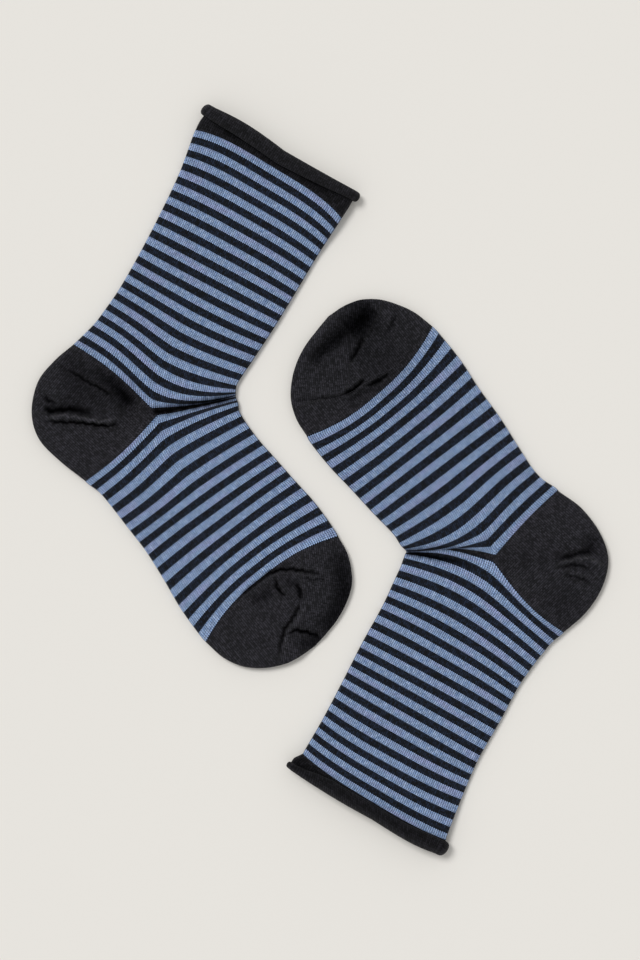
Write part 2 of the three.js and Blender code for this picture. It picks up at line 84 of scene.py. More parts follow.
# One row is one course: its stripe, then where it meets the calf or sole fold (back), its middle
# and where it meets the shin or instep fold (front), how round its sag is and the sock's
# thickness there, then how far its back half and its front half bow, in mm of y.
# A crease is its name, width in mm, height in mm (below 0 it is a trough), the lip beside it, how
# much shade is painted on the yarn in it (below 0 a painted highlight), and its route: x, y and
# the share of the height at that point.
# rollSizes and bandShade give shares of the mouth's width, from back to front, with how fat the
# roll is and how much shade is painted on the band there; rollShade is how much is painted on the
# roll. Past toeSuture the toe's courses follow one another along toeTurned, toeLink is its linked
# seam, and heelRim is the heel's fold, from leg to foot.
firstSock = {
    "name": "sock1", "place": (-44.65, 44.08), "turn": 0, "curlSize": 1.0,
    "rollSizes": [
        (0, 1.05), (0.12, 1.3), (0.3, 1.42), (0.55, 1.3), (0.8, 1.06), (0.93, 0.88), (1, 0.8),
    ],
    "bandShade": [(0, 0.15), (0.2, 0.95), (0.75, 0.95), (1, 0.3)], "rollShade": 0.1,
    "leg": [
        (0, (-14.9, 150.5), (23.8, 127.0), (62.7, 105.0), 2, 3.6, 2.2, 0.1),
        (0.35, (-18.6, 146.0), (21.9, 124.4), (59.9, 100.0), 2.5, 3.8, 1.0, 0),
        (0.7, (-21.1, 141.0), (19.7, 121.5), (56.2, 94.4), 3, 4.0),
        (1, (-22.0, 139.1), (18.6, 119.8), (55.1, 92.5), 3, 4.0),
        (4, (-29.8, 118.4), (8.0, 99.6), (44.3, 76.1), 2.4, 4.3),
        (7, (-39.8, 97.2), (-3.2, 78.4), (33.0, 57.2), 2, 4.4),
        (10, (-50.6, 76.3), (-15.4, 57.2), (21.5, 38.2), 2, 4.4),
        (13, (-61.8, 56.7), (-28.1, 36.0), (9.4, 19.7), 1.5, 4.6, 1.0, 0),
        (15, (-70.0, 44.8), (-37.1, 21.2), (1.1, 7.1), 1.35, 5.0, 2.3, 0),
        (16, (-74.2, 39.2), (-40.0, 13.3), (0.2, 3.0), 1.35, 5.2, 3.5, -1.5),
        (17, (-79.5, 33.7), (-42.7, 5.0), (0.1, 1.2), 1.2, 5.1, 4.4, -2.1),
        (18, (-84.8, 28.6), (-44.3, -3.6), (0, 0.2), 1.05, 5.0, 3.6, -2.0),
        (18.3, (-85.9, 27.6), (-44.5, -6.4), (0, 0), 1, 5.0, 2.5, -1.3),
    ],
    "foot": [
        (0.7, (-79.8, -44.4), (-44.5, -6.4), (0, 0), 1, 5.0, -4.4, -1.3),
        (0.73, (-79.5, -44.8), (-41.3, -9.6), (0.3, -0.7), 1, 5.0, -2.6, -0.4),
        (1, (-78.2, -46.0), (-41.0, -11.9), (0.6, -1.3), 1, 5.1, -2.2, 0.2),
        (2, (-72.1, -50.6), (-38.5, -20.5), (1.4, -3.7), 1.05, 5.2, -1.5, 1.2),
        (3, (-66.8, -56.7), (-35.0, -28.8), (2.4, -8.7), 1.2, 5.1, -2.2, 0),
        (5, (-57.0, -69.4), (-24.4, -44.0), (11.0, -21.3), 1.6, 4.7, -1.3, 0),
        (7, (-47.4, -81.9), (-14.3, -56.7), (21.0, -32.7), 2, 4.6),
        (9, (-38.2, -96.5), (-4.8, -69.4), (30.7, -43.7), 2, 4.6),
        (11, (-28.9, -112.4), (4.2, -82.2), (42.4, -56.7), 1.5, 4.8),
        (13, (-18.2, -127.2), (12.7, -93.8), (52.7, -71.0), 1.8, 5.1),
        (13.3, (-15.4, -130.2), (14.0, -95.7), (54.4, -74.2), 1.9, 5.2),
    ],
    "toe": [
        (0, (-15.4, -130.2), (14.0, -95.7), (54.4, -74.2), 1.9, 5.2),
        (1, (-6.7, -137.9), (22.8, -103.9), (58.8, -82.2), 2, 6.3),
        (2, (3.6, -142.6), (30.2, -112.9), (61.0, -90.1), 2, 6.7),
        (3, (14.8, -143.6), (36.6, -119.8), (61.5, -99.6), 2, 6.7),
        (4, (25.3, -141.7), (41.2, -125.0), (58.5, -109.4), 2, 6.3),
        (5, (31.9, -138.8), (42.6, -128.6), (53.4, -118.6), 2, 5.4),
        (6, (36.4, -136.0), (41.7, -131.2), (47.0, -126.6), 2, 3.2),
    ],
    "toeEnd": (41.9, -132.1),
    "toeSuture": [
        (34.9, -86), (34.9, -100.9), (34.0, -108.5), (31.1, -114.2), (28.1, -120.8), (23.5, -128.3),
        (22.4, -145),
    ],
    "toeTurned": (0.12, -0.99),
    "toeLink": [
        (-2.5, -113.5), (4.5, -105.8), (9.3, -101.6), (14, -98.4), (19, -95.3), (24, -93.8),
        (29.5, -93.4), (35.5, -94.2), (42.4, -95.2), (50, -96.5),
    ],
    "heelRim": [
        (-85.9, 27.6), (-96.1, 18.8), (-104.7, 7.6), (-107.9, -8.2),
        (-104.1, -22.3), (-93.0, -34.0), (-79.8, -44.4),
    ],
    "creases": [
        ("ankle valley", 2.3, -2.6, 0.15, 0.95,
         [(-45, -8.1, 0.9), (-41, -7.8, 1), (-36, -7.3, 1), (-30, -6.1, 1), (-24, -5.1, 1),
          (-16, -3.6, 1), (-8, -1.9, 1), (3, 0.3, 0.9)]),
        ("heel sink", 9.0, -1.4, 0.0, 0.34,
         [(-50, -5, 1), (-62, -2.5, 1), (-76, -1.5, 1), (-95, 0, 0.8)]),
        ("heel hook", 1.1, -1.6, 0.4, 0.8, [(-101.2, -0.2, 0.9), (-97.7, -2.5, 1), (-94.6, -4.5, 0.6)]),
        ("heel trough", 1.9, -2.2, 0.1, 0.97,
         [(-99.6, -4.2, 0.8), (-98.4, -7.6, 1), (-95.0, -7.4, 1.05), (-87.1, -6.8, 1),
          (-81, -7.9, 0.85), (-74, -9.6, 0.4)]),
        ("heel ridge", 0.95, 1.7, 0.0, -0.75,
         [(-99.9, -10.5, 0.8), (-95.9, -11.4, 1), (-91.5, -10.3, 1), (-84.4, -11.2, 0.9),
          (-78.3, -12.1, 1), (-71.2, -13.4, 1), (-66, -12.6, 0.9), (-62.2, -11.8, 0.5)]),
        ("heel lower trough", 0.95, -1.6, 0.2, 0.95,
         [(-100.5, -12.9, 0.8), (-91.5, -13.6, 1), (-82.7, -13.9, 1), (-71.2, -15.3, 1.1),
          (-65, -15.3, 0.8), (-61.4, -13.9, 0.5)]),
        ("heel upper shade", 9.0, -0.3, 0.0, 0.4, [(-93, 18, 0.8), (-84, 14, 1), (-74, 9, 0.8)]),
        ("heel thin crease", 0.8, -1.2, 0.6, 0.7,
         [(-91.5, 15.6, 0.5), (-82.7, 10.7, 1), (-77.4, 7.2, 1), (-71.2, 4.1, 1.1),
          (-66.0, 0.1, 0.6)]),
        ("heel hollow", 3.9, -2.2, 0.1, 0.8,
         [(-74, 14.5, 0.4), (-69.5, 10.5, 0.7), (-63.2, 5.2, 0.95), (-58.6, 0.2, 1.1),
          (-55, -5.4, 0.9)]),
        ("toe link", 1.0, -1.7, 0.4, 0.9,
         [(0.7, -108, 0.3), (5.5, -103.5, 0.8), (9.3, -100, 0.8), (14, -96.7, 0.8), (18.8, -93.3, 1),
          (23.5, -91.7, 1.1), (29.2, -91.3, 1), (34.9, -92, 1), (42.4, -93.3, 0.6),
          (48.1, -95.2, 0.4)]),
        ("toe small crease", 0.8, -0.9, 0.5, 0.55,
         [(36.6, -95.9, 0.8), (42, -96.9, 1), (47.2, -95.9, 0.8)]),
        ("toe fork", 1.1, -1.6, 0.4, 0.9,
         [(21.1, -96.2, 0.9), (22.1, -100.9, 1), (24, -103.3, 1.1), (26.6, -105.6, 0.8)]),
        ("toe crumple", 2.4, -1.3, 0.1, 0.5, [(27.5, -96, 0.8), (29.5, -99, 1), (31.5, -97.5, 0.8)]),
        ("toe soft patch", 3.0, -1.3, 0.1, 0.55, [(8, -108, 0.6), (14, -106, 1), (20, -102.5, 0.9)]),
        ("toe dark dent", 1.6, -1.7, 0.3, 0.9,
         [(32.2, -98.5, 0.8), (33.9, -102.8, 1), (34.4, -107, 0.8)]),
        ("toe step", 1.15, -1.5, 0.0, 0.8,
         [(34.9, -108.5, 0.7), (32, -114.2, 1), (29.2, -118.9, 1), (26.3, -122.7, 1.1),
          (24.9, -127.4, 1), (24, -131.2, 0.8), (22.6, -137.8, 0.5)]),
        ("toe step edge", 1.4, 1.0, 0.0, -0.4,
         [(37.3, -109.5, 0.7), (34.4, -115.2, 1), (31.6, -119.9, 1), (28.7, -123.7, 1),
          (27.3, -127.4, 1), (26.4, -131.2, 0.8), (25.0, -137.8, 0.5)]),
        ("toe short crease", 1.15, -1.6, 0.5, 0.9,
         [(28.2, -125.6, 0.7), (31.1, -123.6, 1), (35.8, -124.1, 1.1), (41.5, -125.8, 0.9),
          (45, -127.4, 0.5)]),
        # A soft trough with shade painted in it
        ("toe blotch", 4.0, -1.3, 0.1, 0.6, [(34, -129.5, 0.8), (39, -130.5, 1), (45, -126, 0.9)]),
        ("toe dark rim", 6.0, -2.6, 0.0, 0.72,
         [(52, -80, 0.5), (56, -90, 0.9), (57.3, -99, 1), (56.0, -109, 1), (51.0, -118, 0.95),
          (45, -126, 0.7)]),
        ("leg drape", 7.0, -0.35, 0.0, 0.0, [(-52, 64, 1), (-38, 44, 1), (-30, 22, 1)]),
        ("foot drape", 6.0, -0.3, 0.0, 0.0, [(-40, -60, 1), (-22, -74, 1), (-10, -92, 1)]),
    ],
}

secondSock = {
    "name": "sock2", "place": (45.65, -38.12), "turn": 180, "curlSize": 1.12,
    "rollSizes": [
        (0, 1.22), (0.12, 1.32), (0.35, 1.35), (0.6, 1.42), (0.75, 1.4), (0.86, 1.0), (0.93, 0.65),
        (1, 0.4),
    ],
    "bandShade": [(0, 0.95), (0.8, 0.95), (1, 0.6)], "rollShade": 0.36,
    "leg": [
        (0, (-17.6, 155.7), (18.7, 137.1), (60.6, 110.3), 2, 3.6, 0.7, 0.6),
        (0.35, (-19.4, 153.2), (18.9, 134.2), (59.0, 108.5), 2.2, 3.8, 0.3, 0.3),
        (0.7, (-20.9, 152.1), (19.3, 131.3), (54.9, 106.5), 2.4, 4.0),
        (1, (-21.2, 150.5), (18.3, 129.6), (54.1, 105.2), 2.4, 4.0),
        (4, (-29.8, 129.0), (8.7, 110.2), (44.0, 88.0), 2.2, 4.3),
        (7, (-38.3, 109.5), (-1.9, 89.0), (33.7, 68.4), 2, 4.4),
        (10, (-49.9, 89.1), (-13.5, 68.4), (23.6, 48.5), 2, 4.4),
        (13, (-59.9, 70.5), (-24.6, 47.2), (12.4, 28.1), 1.8, 4.6),
        (15, (-68.1, 58.8), (-33.1, 32.9), (6.3, 14.9), 1.6, 5.0, 0.7, 0),
        (16, (-72.3, 53.5), (-37.4, 25.4), (3.1, 7.9), 1.5, 5.2, 1.2, -0.5),
        (17, (-76.9, 48.0), (-41.6, 18.0), (0.9, 1.8), 1.35, 5.1, 2.1, -0.9),
        (18, (-82.3, 43.6), (-45.2, 8.8), (0, 0.1), 1.05, 5.0, 3.3, -4.0),
        (18.3, (-83.5, 42.4), (-46.4, 4.8), (0, 0), 1, 5.0, 4.4, -3.8),
    ],
    "foot": [
        (0.7, (-80.5, -32.3), (-46.4, 4.8), (0, 0), 1, 5.0, -2.9, -3.8),
        (0.73, (-80.2, -32.8), (-47.3, 1.6), (0, -0.1), 1, 5.0, -1.6, -2.6),
        (1, (-79.1, -34.0), (-45.4, -0.8), (0, -0.2), 1, 5.1, -0.8, -1.3),
        (2, (-72.3, -38.4), (-41.6, -8.7), (0.1, -0.5), 1.05, 5.2, -1.5, 2.7),
        (3, (-67.0, -44.0), (-36.9, -16.7), (0.6, -1.2), 1.15, 5.1, -2.2, 3.0),
        (4, (-62.5, -50.8), (-32.0, -24.8), (3.0, -3.6), 1.4, 4.9, -1.8, 0.8),
        (5, (-58.1, -57.7), (-26.8, -32.3), (6.9, -9.5), 1.6, 4.7, -1.0, 0.3),
        (7, (-49.3, -71.6), (-15.6, -46.1), (17.7, -20.7), 2, 4.6),
        (9, (-38.4, -86.7), (-5.6, -59.4), (29.0, -33.0), 2, 4.6),
        (11, (-28.4, -102.0), (4.5, -71.6), (41.1, -45.8), 1.5, 4.8),
        (13, (-15.6, -117.8), (13.5, -82.2), (51.4, -58.8), 1.8, 5.1),
        (13.3, (-13.6, -119.6), (14.6, -84.5), (52.7, -61.5), 1.9, 5.2),
    ],
    "toe": [
        (0, (-13.6, -119.6), (14.6, -84.5), (52.7, -61.5), 1.9, 5.2),
        (1, (-4.5, -126.7), (23.1, -93.3), (58.0, -70.0), 2, 6.3),
        (2, (4.5, -130.9), (30.5, -102.3), (61.0, -80.0), 2, 6.7),
        (3, (14.0, -133.6), (36.0, -110.2), (60.7, -90.1), 2, 6.7),
        (4, (23.6, -133.6), (40.3, -116.1), (58.0, -100.2), 2, 6.3),
        (5, (30.5, -131.4), (42.0, -120.4), (53.3, -109.4), 2, 5.4),
        (6, (35.0, -129.1), (40.9, -123.9), (46.4, -118.5), 2, 3.2),
    ],
    "toeEnd": (41.3, -124.7),
    "toeSuture": [
        (58, -76), (41.1, -82.4), (31.7, -84.2), (30, -99.2), (24.2, -108.8), (14, -127), (12, -136),
    ],
    "toeTurned": (0.1, -0.99),
    "toeLink": [
        (2, -101.5), (8.4, -96.4), (13.3, -93.2), (19, -90.6), (24, -88.0), (29, -84.6), (34, -82.4),
        (41, -80.6), (48, -80.2), (57.2, -78.8),
    ],
    "heelRim": [
        (-83.5, 42.4), (-94.8, 32.3), (-103.4, 19.2), (-106.9, 4.6),
        (-102.9, -9.3), (-92.9, -23.0), (-80.5, -32.3),
    ],
    "creases": [
        ("ankle valley", 1.8, -2.6, 0.15, 0.93,
         [(3, -0.4, 0.8), (-3, 0.5, 1), (-8, 1.4, 1), (-14, 2.7, 1), (-20, 3.8, 0.9), (-28, 5.6, 0.5),
          (-36, 7.6, 0.2)]),
        ("ankle fold", 1.4, -1.7, 0.1, 0.5,
         [(-47, 3.4, 0.5), (-38, 1.4, 0.9), (-30, -0.6, 1), (-22, -1.8, 0.9), (-12, -1.6, 0.7),
          (0, -0.4, 0.4)]),
        ("heel sink", 7.5, -1.1, 0.0, 0.15,
         [(-50, 4.6, 1), (-62, 4.6, 1), (-76, 4.4, 1), (-92, 2.6, 0.8)]),
        ("heel trough", 1.5, -1.8, 0.2, 0.75,
         [(-80, 4.4, 0.5), (-84, 3.2, 0.9), (-89.7, 1.2, 1), (-95.4, 0, 0.9), (-98.5, -1, 0.6)]),
        ("heel ridge", 1.0, 1.6, 0.0, -0.5,
         [(-76, 8.6, 0.5), (-84, 5.4, 0.9), (-89.7, 4.0, 1), (-96.3, 3.8, 1), (-101, 6.2, 1),
          (-104.5, 7.2, 0.8)]),
        ("heel second trough", 1.0, -1.5, 0.2, 0.7,
         [(-82, 8.2, 0.5), (-88.7, 6.9, 1), (-93.5, 7.6, 1), (-97.6, 9.7, 0.6)]),
        ("heel rim hollow", 4.2, -1.8, 0.1, 0.5,
         [(-97.5, -9, 0.6), (-97.8, -5, 1), (-96.6, -1.6, 1), (-93, 0.5, 0.6)]),
        ("heel low ridge", 1.0, 0.9, 0.0, -0.3,
         [(-79, 9.3, 0.6), (-84.0, 10.0, 1), (-89.7, 11.4, 1), (-97.3, 13.6, 0.8)]),
        ("heel third trough", 0.9, -1.1, 0.2, 0.55,
         [(-84.0, 12.0, 0.7), (-90.6, 13.4, 1), (-97, 15.8, 0.7)]),
        ("heel low shade", 10.0, -0.5, 0.0, 0.24, [(-72, 27, 0.7), (-82, 26, 1), (-93, 22, 0.9)]),
        ("toe rim swell", 2.4, 1.0, 0.0, 0.0,
         [(20, -131, 0.5), (33, -125, 1), (45, -114, 1), (54, -100, 0.8)]),
        # Shade painted on the toe, with no height
        ("toe shade", 26.0, 0.0, 0.0, 0.28, [(6, -112, 1), (16, -104, 1), (26, -97, 1)]),
        ("toe hollow flank", 4.6, -1.0, 0.0, 0.35,
         [(21.5, -126, 0.9), (21.5, -119, 1), (24, -114, 0.7)]),
        ("toe hollow", 7.8, -3.3, 0.0, 0.85,
         [(16.5, -130, 0.7), (21, -126, 1), (26, -121, 1.05), (32, -116.5, 0.9)]),
        ("toe hollow tail", 4.2, -2.4, 0.1, 0.75,
         [(29, -118.5, 0.7), (35, -114.5, 1), (41, -109, 1), (46.5, -104, 0.9), (50, -98, 0.6)]),
        ("toe small crease", 1.3, -1.6, 0.4, 0.85,
         [(22.7, -114, 0.6), (25.0, -108.5, 1), (27.4, -104.1, 1), (30.4, -100.4, 0.7)]),
        ("toe upper crease", 1.1, -1.8, 0.6, 0.97,
         [(33.5, -82.7, 0.6), (31.0, -84.1, 1), (27.5, -86.3, 1.2), (24, -89.4, 1),
          (21.8, -91.2, 0.6)]),
        ("toe lower crease", 1.2, -1.6, 0.6, 0.9,
         [(20.9, -87.9, 0.7), (17, -89.2, 1), (13.3, -91.5, 1), (8.4, -94.9, 0.7)]),
        ("toe faint line", 0.9, -0.9, 0.5, 0.5,
         [(32.2, -83, 1), (38, -81.6, 0.7), (45.5, -81.1, 1), (52, -80.3, 0.7), (58.7, -79.6, 0.8)]),
        ("toe second fold", 2.2, -0.7, 0.2, 0.35, [(16, -86.5, 0.8), (23, -84, 1), (31, -79.6, 0.8)]),
        ("toe rim crease", 1.0, -1.0, 0.5, 0.5,
         [(5.6, -125.6, 0.8), (7.6, -120, 1), (11.4, -113.4, 0.6)]),
        ("leg drape", 7.0, -0.35, 0.0, 0.0, [(-48, 74, 1), (-35, 54, 1), (-26, 34, 1)]),
        ("foot drape", 6.0, -0.3, 0.0, 0.0, [(-42, -52, 1), (-24, -64, 1), (-11, -82, 1)]),
    ],
}


def smooth(share):
    s = np.clip(share, 0, 1)
    return s * s * (3 - 2 * s)


# A smooth curve through rows of values at uneven stations
def curveThrough(stations, values, at):
    stations = np.asarray(stations, float)
    values = np.asarray(values, float)
    at = np.asarray(at, float)
    last = len(stations) - 1
    i = np.clip(np.searchsorted(stations, at, side="left") - 1, 0, last - 1)
    before = np.maximum(np.arange(last + 1) - 1, 0)
    after = np.minimum(np.arange(last + 1) + 1, last)
    slopes = (values[after] - values[before]) / (stations[after] - stations[before])[:, None]
    span = (stations[i + 1] - stations[i])[:, None]
    s = (at - stations[i])[:, None] / span
    rise = values[i + 1] - values[i]
    bend = (1 - s) * (slopes[i] * span - rise) - s * (slopes[i + 1] * span - rise)
    return values[i] + rise * s + s * (1 - s) * bend


def rowsAt(rows, at):
    stations = [row[0] for row in rows]
    flat = [[*row[1], *row[2], *row[3], row[4], row[5], *(row[6:] or (0, 0))] for row in rows]
    v = curveThrough(stations, flat, at)
    return {
        "back": v[:, 0:2], "middle": v[:, 2:4], "front": v[:, 4:6],
        "round": v[:, 6], "thick": v[:, 7], "bows": v[:, 8:10],
    }


# Points of courses seen from above: one line of points for each row, back (0) to front (1)
def coursePoints(rows, across):
    a = np.broadcast_to(across, (len(rows["thick"]), np.shape(across)[-1]))[..., None]
    back, middle, front = (rows[k][:, None, :] for k in ("back", "middle", "front"))
    soft = lie["softBend"] * smooth((rows["round"] - 1) / lie["bendFrom"])[:, None, None]
    fromMiddle = (np.sqrt((2 * a - 1) ** 2 + soft ** 2) - soft) / (np.sqrt(1 + soft ** 2) - soft)
    sag = 1 - fromMiddle ** rows["round"][:, None, None]
    xy = back + (front - back) * a + (middle - (back + front) / 2) * sag
    backBow = rows["bows"][:, :1, None] * np.sin(2 * np.pi * a)
    frontBow = rows["bows"][:, 1:, None] * np.sin(2 * np.pi * (a - 0.5))
    bow = np.where(a < 0.5, backBow, frontBow)
    xy[..., 1] += bow[..., 0] * ((a[..., 0] > 0) & (a[..., 0] < 1))
    return xy


# Shares across the width, heights (-1 under to 1 on top) and wales of one ring of points
def ringShares(topCount, underCount, foldShare):
    turns = np.linspace(0, math.pi / 2, fine["foldSteps"], endpoint=False)
    out = foldShare * (1 - np.cos(turns))
    back = out[1:][::-1]
    top = np.linspace(foldShare, 1 - foldShare, topCount + 1)
    under = np.linspace(1 - foldShare, foldShare, underCount + 1)
    across = np.concatenate([out, top, 1 - back, 1 - out, under, back])
    high = np.concatenate([
        np.sin(turns), np.ones(topCount + 1), np.sin(turns)[1:][::-1],
        -np.sin(turns), -np.ones(underCount + 1), -np.sin(turns)[1:][::-1],
    ])
    topPoints = len(out) + len(top) + len(back)
    wales = np.where(np.arange(len(across)) < topPoints, across, 2 - across) * knit["wales"]
    return across, high, wales


# How a crease is drawn along its route
crease = {
    "stray": 0.28,       # mm that it strays to each side
    "steps": 6,          # straight steps from one point of its route to the next
    "fade": 0.12,        # of its length that each end takes to fade
    "endShare": 0.3,     # of its strength that is left at its ends
    "lipAt": 2.0,        # widths from its middle to its lips
    "lipWidth": 0.9,     # widths
    "reach": 4,          # widths, and margin in mm, past which nothing of it is left
    "margin": 1,
    "mostPaintedShade": 0.95,
}


# Distance from each point to the nearest point of a route, the share of the route before
# that point, and the route's strength there
def nearRoute(route, xy):
    last = len(route) - 1
    run = curveThrough(np.arange(len(route)), route, np.linspace(0, last, crease["steps"] * last + 1))
    best = np.full(xy.shape[:-1], np.inf)
    along = np.zeros(xy.shape[:-1])
    for i in range(len(run) - 1):
        a, step = run[i, :2], run[i + 1, :2] - run[i, :2]
        share = np.clip(((xy - a) @ step) / (step @ step), 0, 1)
        far = np.linalg.norm(xy - a - share[..., None] * step, axis=-1)
        nearer = far < best
        best = np.where(nearer, far, best)
        along = np.where(nearer, i + share, along)
    strength = np.interp(along, np.arange(len(run)), run[:, 2])
    return best, along / (len(run) - 1), strength


# What the creases do: the height that they add, and the shade painted into the yarn's colour in
# them, a painted highlight where that is below 0. The two layers are too close for troughs as deep
# as real ones, so painted shade stands in for part of the dark.
def creasesAt(sock, xy):
    height = np.zeros(xy.shape[:-1])
    light = np.ones(xy.shape[:-1])
    x, y = xy[..., 0], xy[..., 1]
    # Slow and quick waves, in radians a millimetre, so that the stray has no plain repeat
    strayX = np.sin(0.9 * x + 1.3 * y) + 0.5 * np.sin(2.3 * y)
    strayY = np.sin(1.1 * x - 0.7 * y + 2) + 0.5 * np.sin(2.6 * x)
    bent = xy + crease["stray"] * np.stack([strayX, strayY], axis=-1)
    for _, width, depth, lip, dark, route in sock["creases"]:
        points = np.array(route)[:, :2]
        reach = crease["reach"] * width + crease["margin"]
        inside = (xy > points.min(axis=0) - reach) & (xy < points.max(axis=0) + reach)
        near = inside.all(axis=-1)
        if not near.any():
            continue
        far, along, strength = nearRoute(route, bent[near])
        whole = smooth(along / crease["fade"]) * smooth((1 - along) / crease["fade"])
        strength = strength * (crease["endShare"] + (1 - crease["endShare"]) * whole)
        middle = np.exp(-((far / width) ** 2))
        beside = np.exp(-(((far - crease["lipAt"] * width) / (crease["lipWidth"] * width)) ** 2))
        height[near] += depth * (middle - lip * beside) * strength
        # The crease's shade is painted into the yarn's colour, and below 0 it is a painted highlight
        light[near] *= 1 - np.clip(dark * middle * strength, -1, crease["mostPaintedShade"])
    return height, 1 - light


# Soft unevenness of cloth that was smoothed by hand: slow waves with fixed phases, the
# longer ones higher, and their sum evened out to about the height given here in mm
waver = {
    "height": 0.22, "waves": 14, "shortest": 14, "longerBy": 4.5, "least": 0.35, "evenOut": 3.2,
}


def waverAt(sock, xy):
    rng = random.Random(sock["name"])
    height = np.zeros(xy.shape[:-1])
    for i in range(waver["waves"]):
        length = waver["shortest"] + waver["longerBy"] * i
        heading = rng.uniform(0, math.pi)
        phase = rng.uniform(0, 2 * math.pi)
        run = xy[..., 0] * math.cos(heading) + xy[..., 1] * math.sin(heading)
        height += np.sin(2 * math.pi * run / length + phase) * (waver["least"] + i / waver["waves"])
    return height * waver["height"] / waver["evenOut"]


# Height and painted shade (below 0 a painted highlight) of each point of a ring grid, outside (depth 0) or
# inside (depth wall)
def heightAt(sock, xy, across, high, thick, lift, depth, width):
    half = thick / 2
    up = np.maximum(high, 0)
    down = np.maximum(-high, 0)
    fromFold = np.minimum(across, 1 - across) * width
    proud = np.maximum(thick - lie["flatThick"], 0)
    edgeReach = lie["edgeReach"] + lie["reachGrowth"] * proud
    edge = -lie["edgeFall"] * proud * np.exp(-((fromFold / edgeReach) ** 2))
    sink = lie["middleSink"] * np.sin(np.pi * np.clip(across, 0, 1)) ** lie["sinkRound"]
    creases, dark = creasesAt(sock, xy)
    relief = creases + waverAt(sock, xy) + edge - sink
    lowest = np.minimum(2 * knit["wall"] + lie["leastGap"] - thick, 0)
    above = relief - lowest
    relief = (lowest + (above + np.sqrt(above ** 2 + lie["floorRound"] ** 2)) / 2) * up
    troughs = np.maximum(-creasesAt(sock, xy + np.array(lie["underShift"]))[0], 0)
    mirrored = troughs * lie["underShare"] * down
    return np.stack([lift + half + (half - depth) * high + relief + mirrored, dark * up], axis=-1)


# The outer or inner grid of a tube between two stations
def tubeGrid(sock, rowsTable, at, shares, depth, liftOf):
    across, high = shares[:2]
    rows = rowsAt(rowsTable, at)
    width = np.linalg.norm(rows["front"] - rows["back"], axis=1)[:, None]
    inset = depth / width
    xy = coursePoints(rows, inset + (1 - 2 * inset) * across[None, :])
    thick, lift = rows["thick"][:, None], liftOf(at)[:, None]
    seen = heightAt(sock, xy, across[None, :], high[None, :], thick, lift, depth, width)
    return np.concatenate([xy, seen], axis=-1)


# Cuff: the raw edge curls outwards into a roll, on both sides of the mouth
curl = {
    "radius": 3.3, "shrink": 1.5, "flatten": 0.54,  # mm, mm a turn, height over width
    "start": -90, "end": 205, "step": 8,            # degrees
    "growTurn": 60,      # degrees in which a fatter place of the roll moves its middle back
    "stripesATurn": 2,
    "bandRows": 9,
    "aimFrom": 0.2,      # stripes inside the mouth, from where the cloth's way out is taken
    "endFlat": 0.02,     # of the width at each end of the mouth, where the under side of the
    "endFade": 0.05,     # roll is as fat as its upper side, and over which that fades
    "liftReach": 5,      # stripes over which the leg comes down from the lower roll
}

# Shade is painted on the band where the roll would shade it, over so many stripes from the mouth,
# and shade painted on the roll starts and grows by these degrees of its turn
cuffShade = {"reach": 1.0, "rollStart": 35, "rollSpan": 60}


def curlRise(sock):
    return curl["flatten"] * sock["curlSize"] * (2 * curl["radius"] - curl["shrink"] / 2)


def legLift(sock):
    return lambda at: curlRise(sock) * (1 - smooth(at / curl["liftReach"]))


def noLift(at):
    return np.zeros(len(at))


def addObject(name, data):
    thing = bpy.data.objects.new(name, data)
    bpy.context.scene.collection.objects.link(thing)
    return thing


# Puts a sock's own millimetres into the part's metres
def placed(sock, points):
    turn = math.radians(sock["turn"])
    c, s = math.cos(turn), math.sin(turn)
    x = sock["place"][0] + c * points[..., 0] - s * points[..., 1]
    y = sock["place"][1] + s * points[..., 0] + c * points[..., 1]
    return np.stack([x, y, points[..., 2]], axis=-1) * mm


meshing = {"mergeWithin": 2e-6, "sharpFrom": 60}  # metres, degrees


# A piece of cloth from its points in metres, its faces, the uv of each face's corners, and the shade
# painted on each point (below 0 a painted highlight)
def clothObject(name, verts, faceList, loopUv, paintedShading):
    cloth = bpy.data.meshes.new(name)
    cloth.from_pydata(verts.tolist(), [], faceList)
    layer = cloth.uv_layers.new(name="knit")
    layer.data.foreach_set("uv", loopUv.astype(np.float32).ravel())
    cloth.attributes.new("paintedShading", "FLOAT", "POINT").data.foreach_set("value", paintedShading)
    work = bmesh.new()
    work.from_mesh(cloth)
    bmesh.ops.remove_doubles(work, verts=work.verts, dist=meshing["mergeWithin"])
    bmesh.ops.recalc_face_normals(work, faces=work.faces)
    work.to_mesh(cloth)
    work.free()
    cloth.shade_smooth()
    cloth.set_sharp_from_angle(angle=math.radians(meshing["sharpFrom"]))
    return addObject(name, cloth)
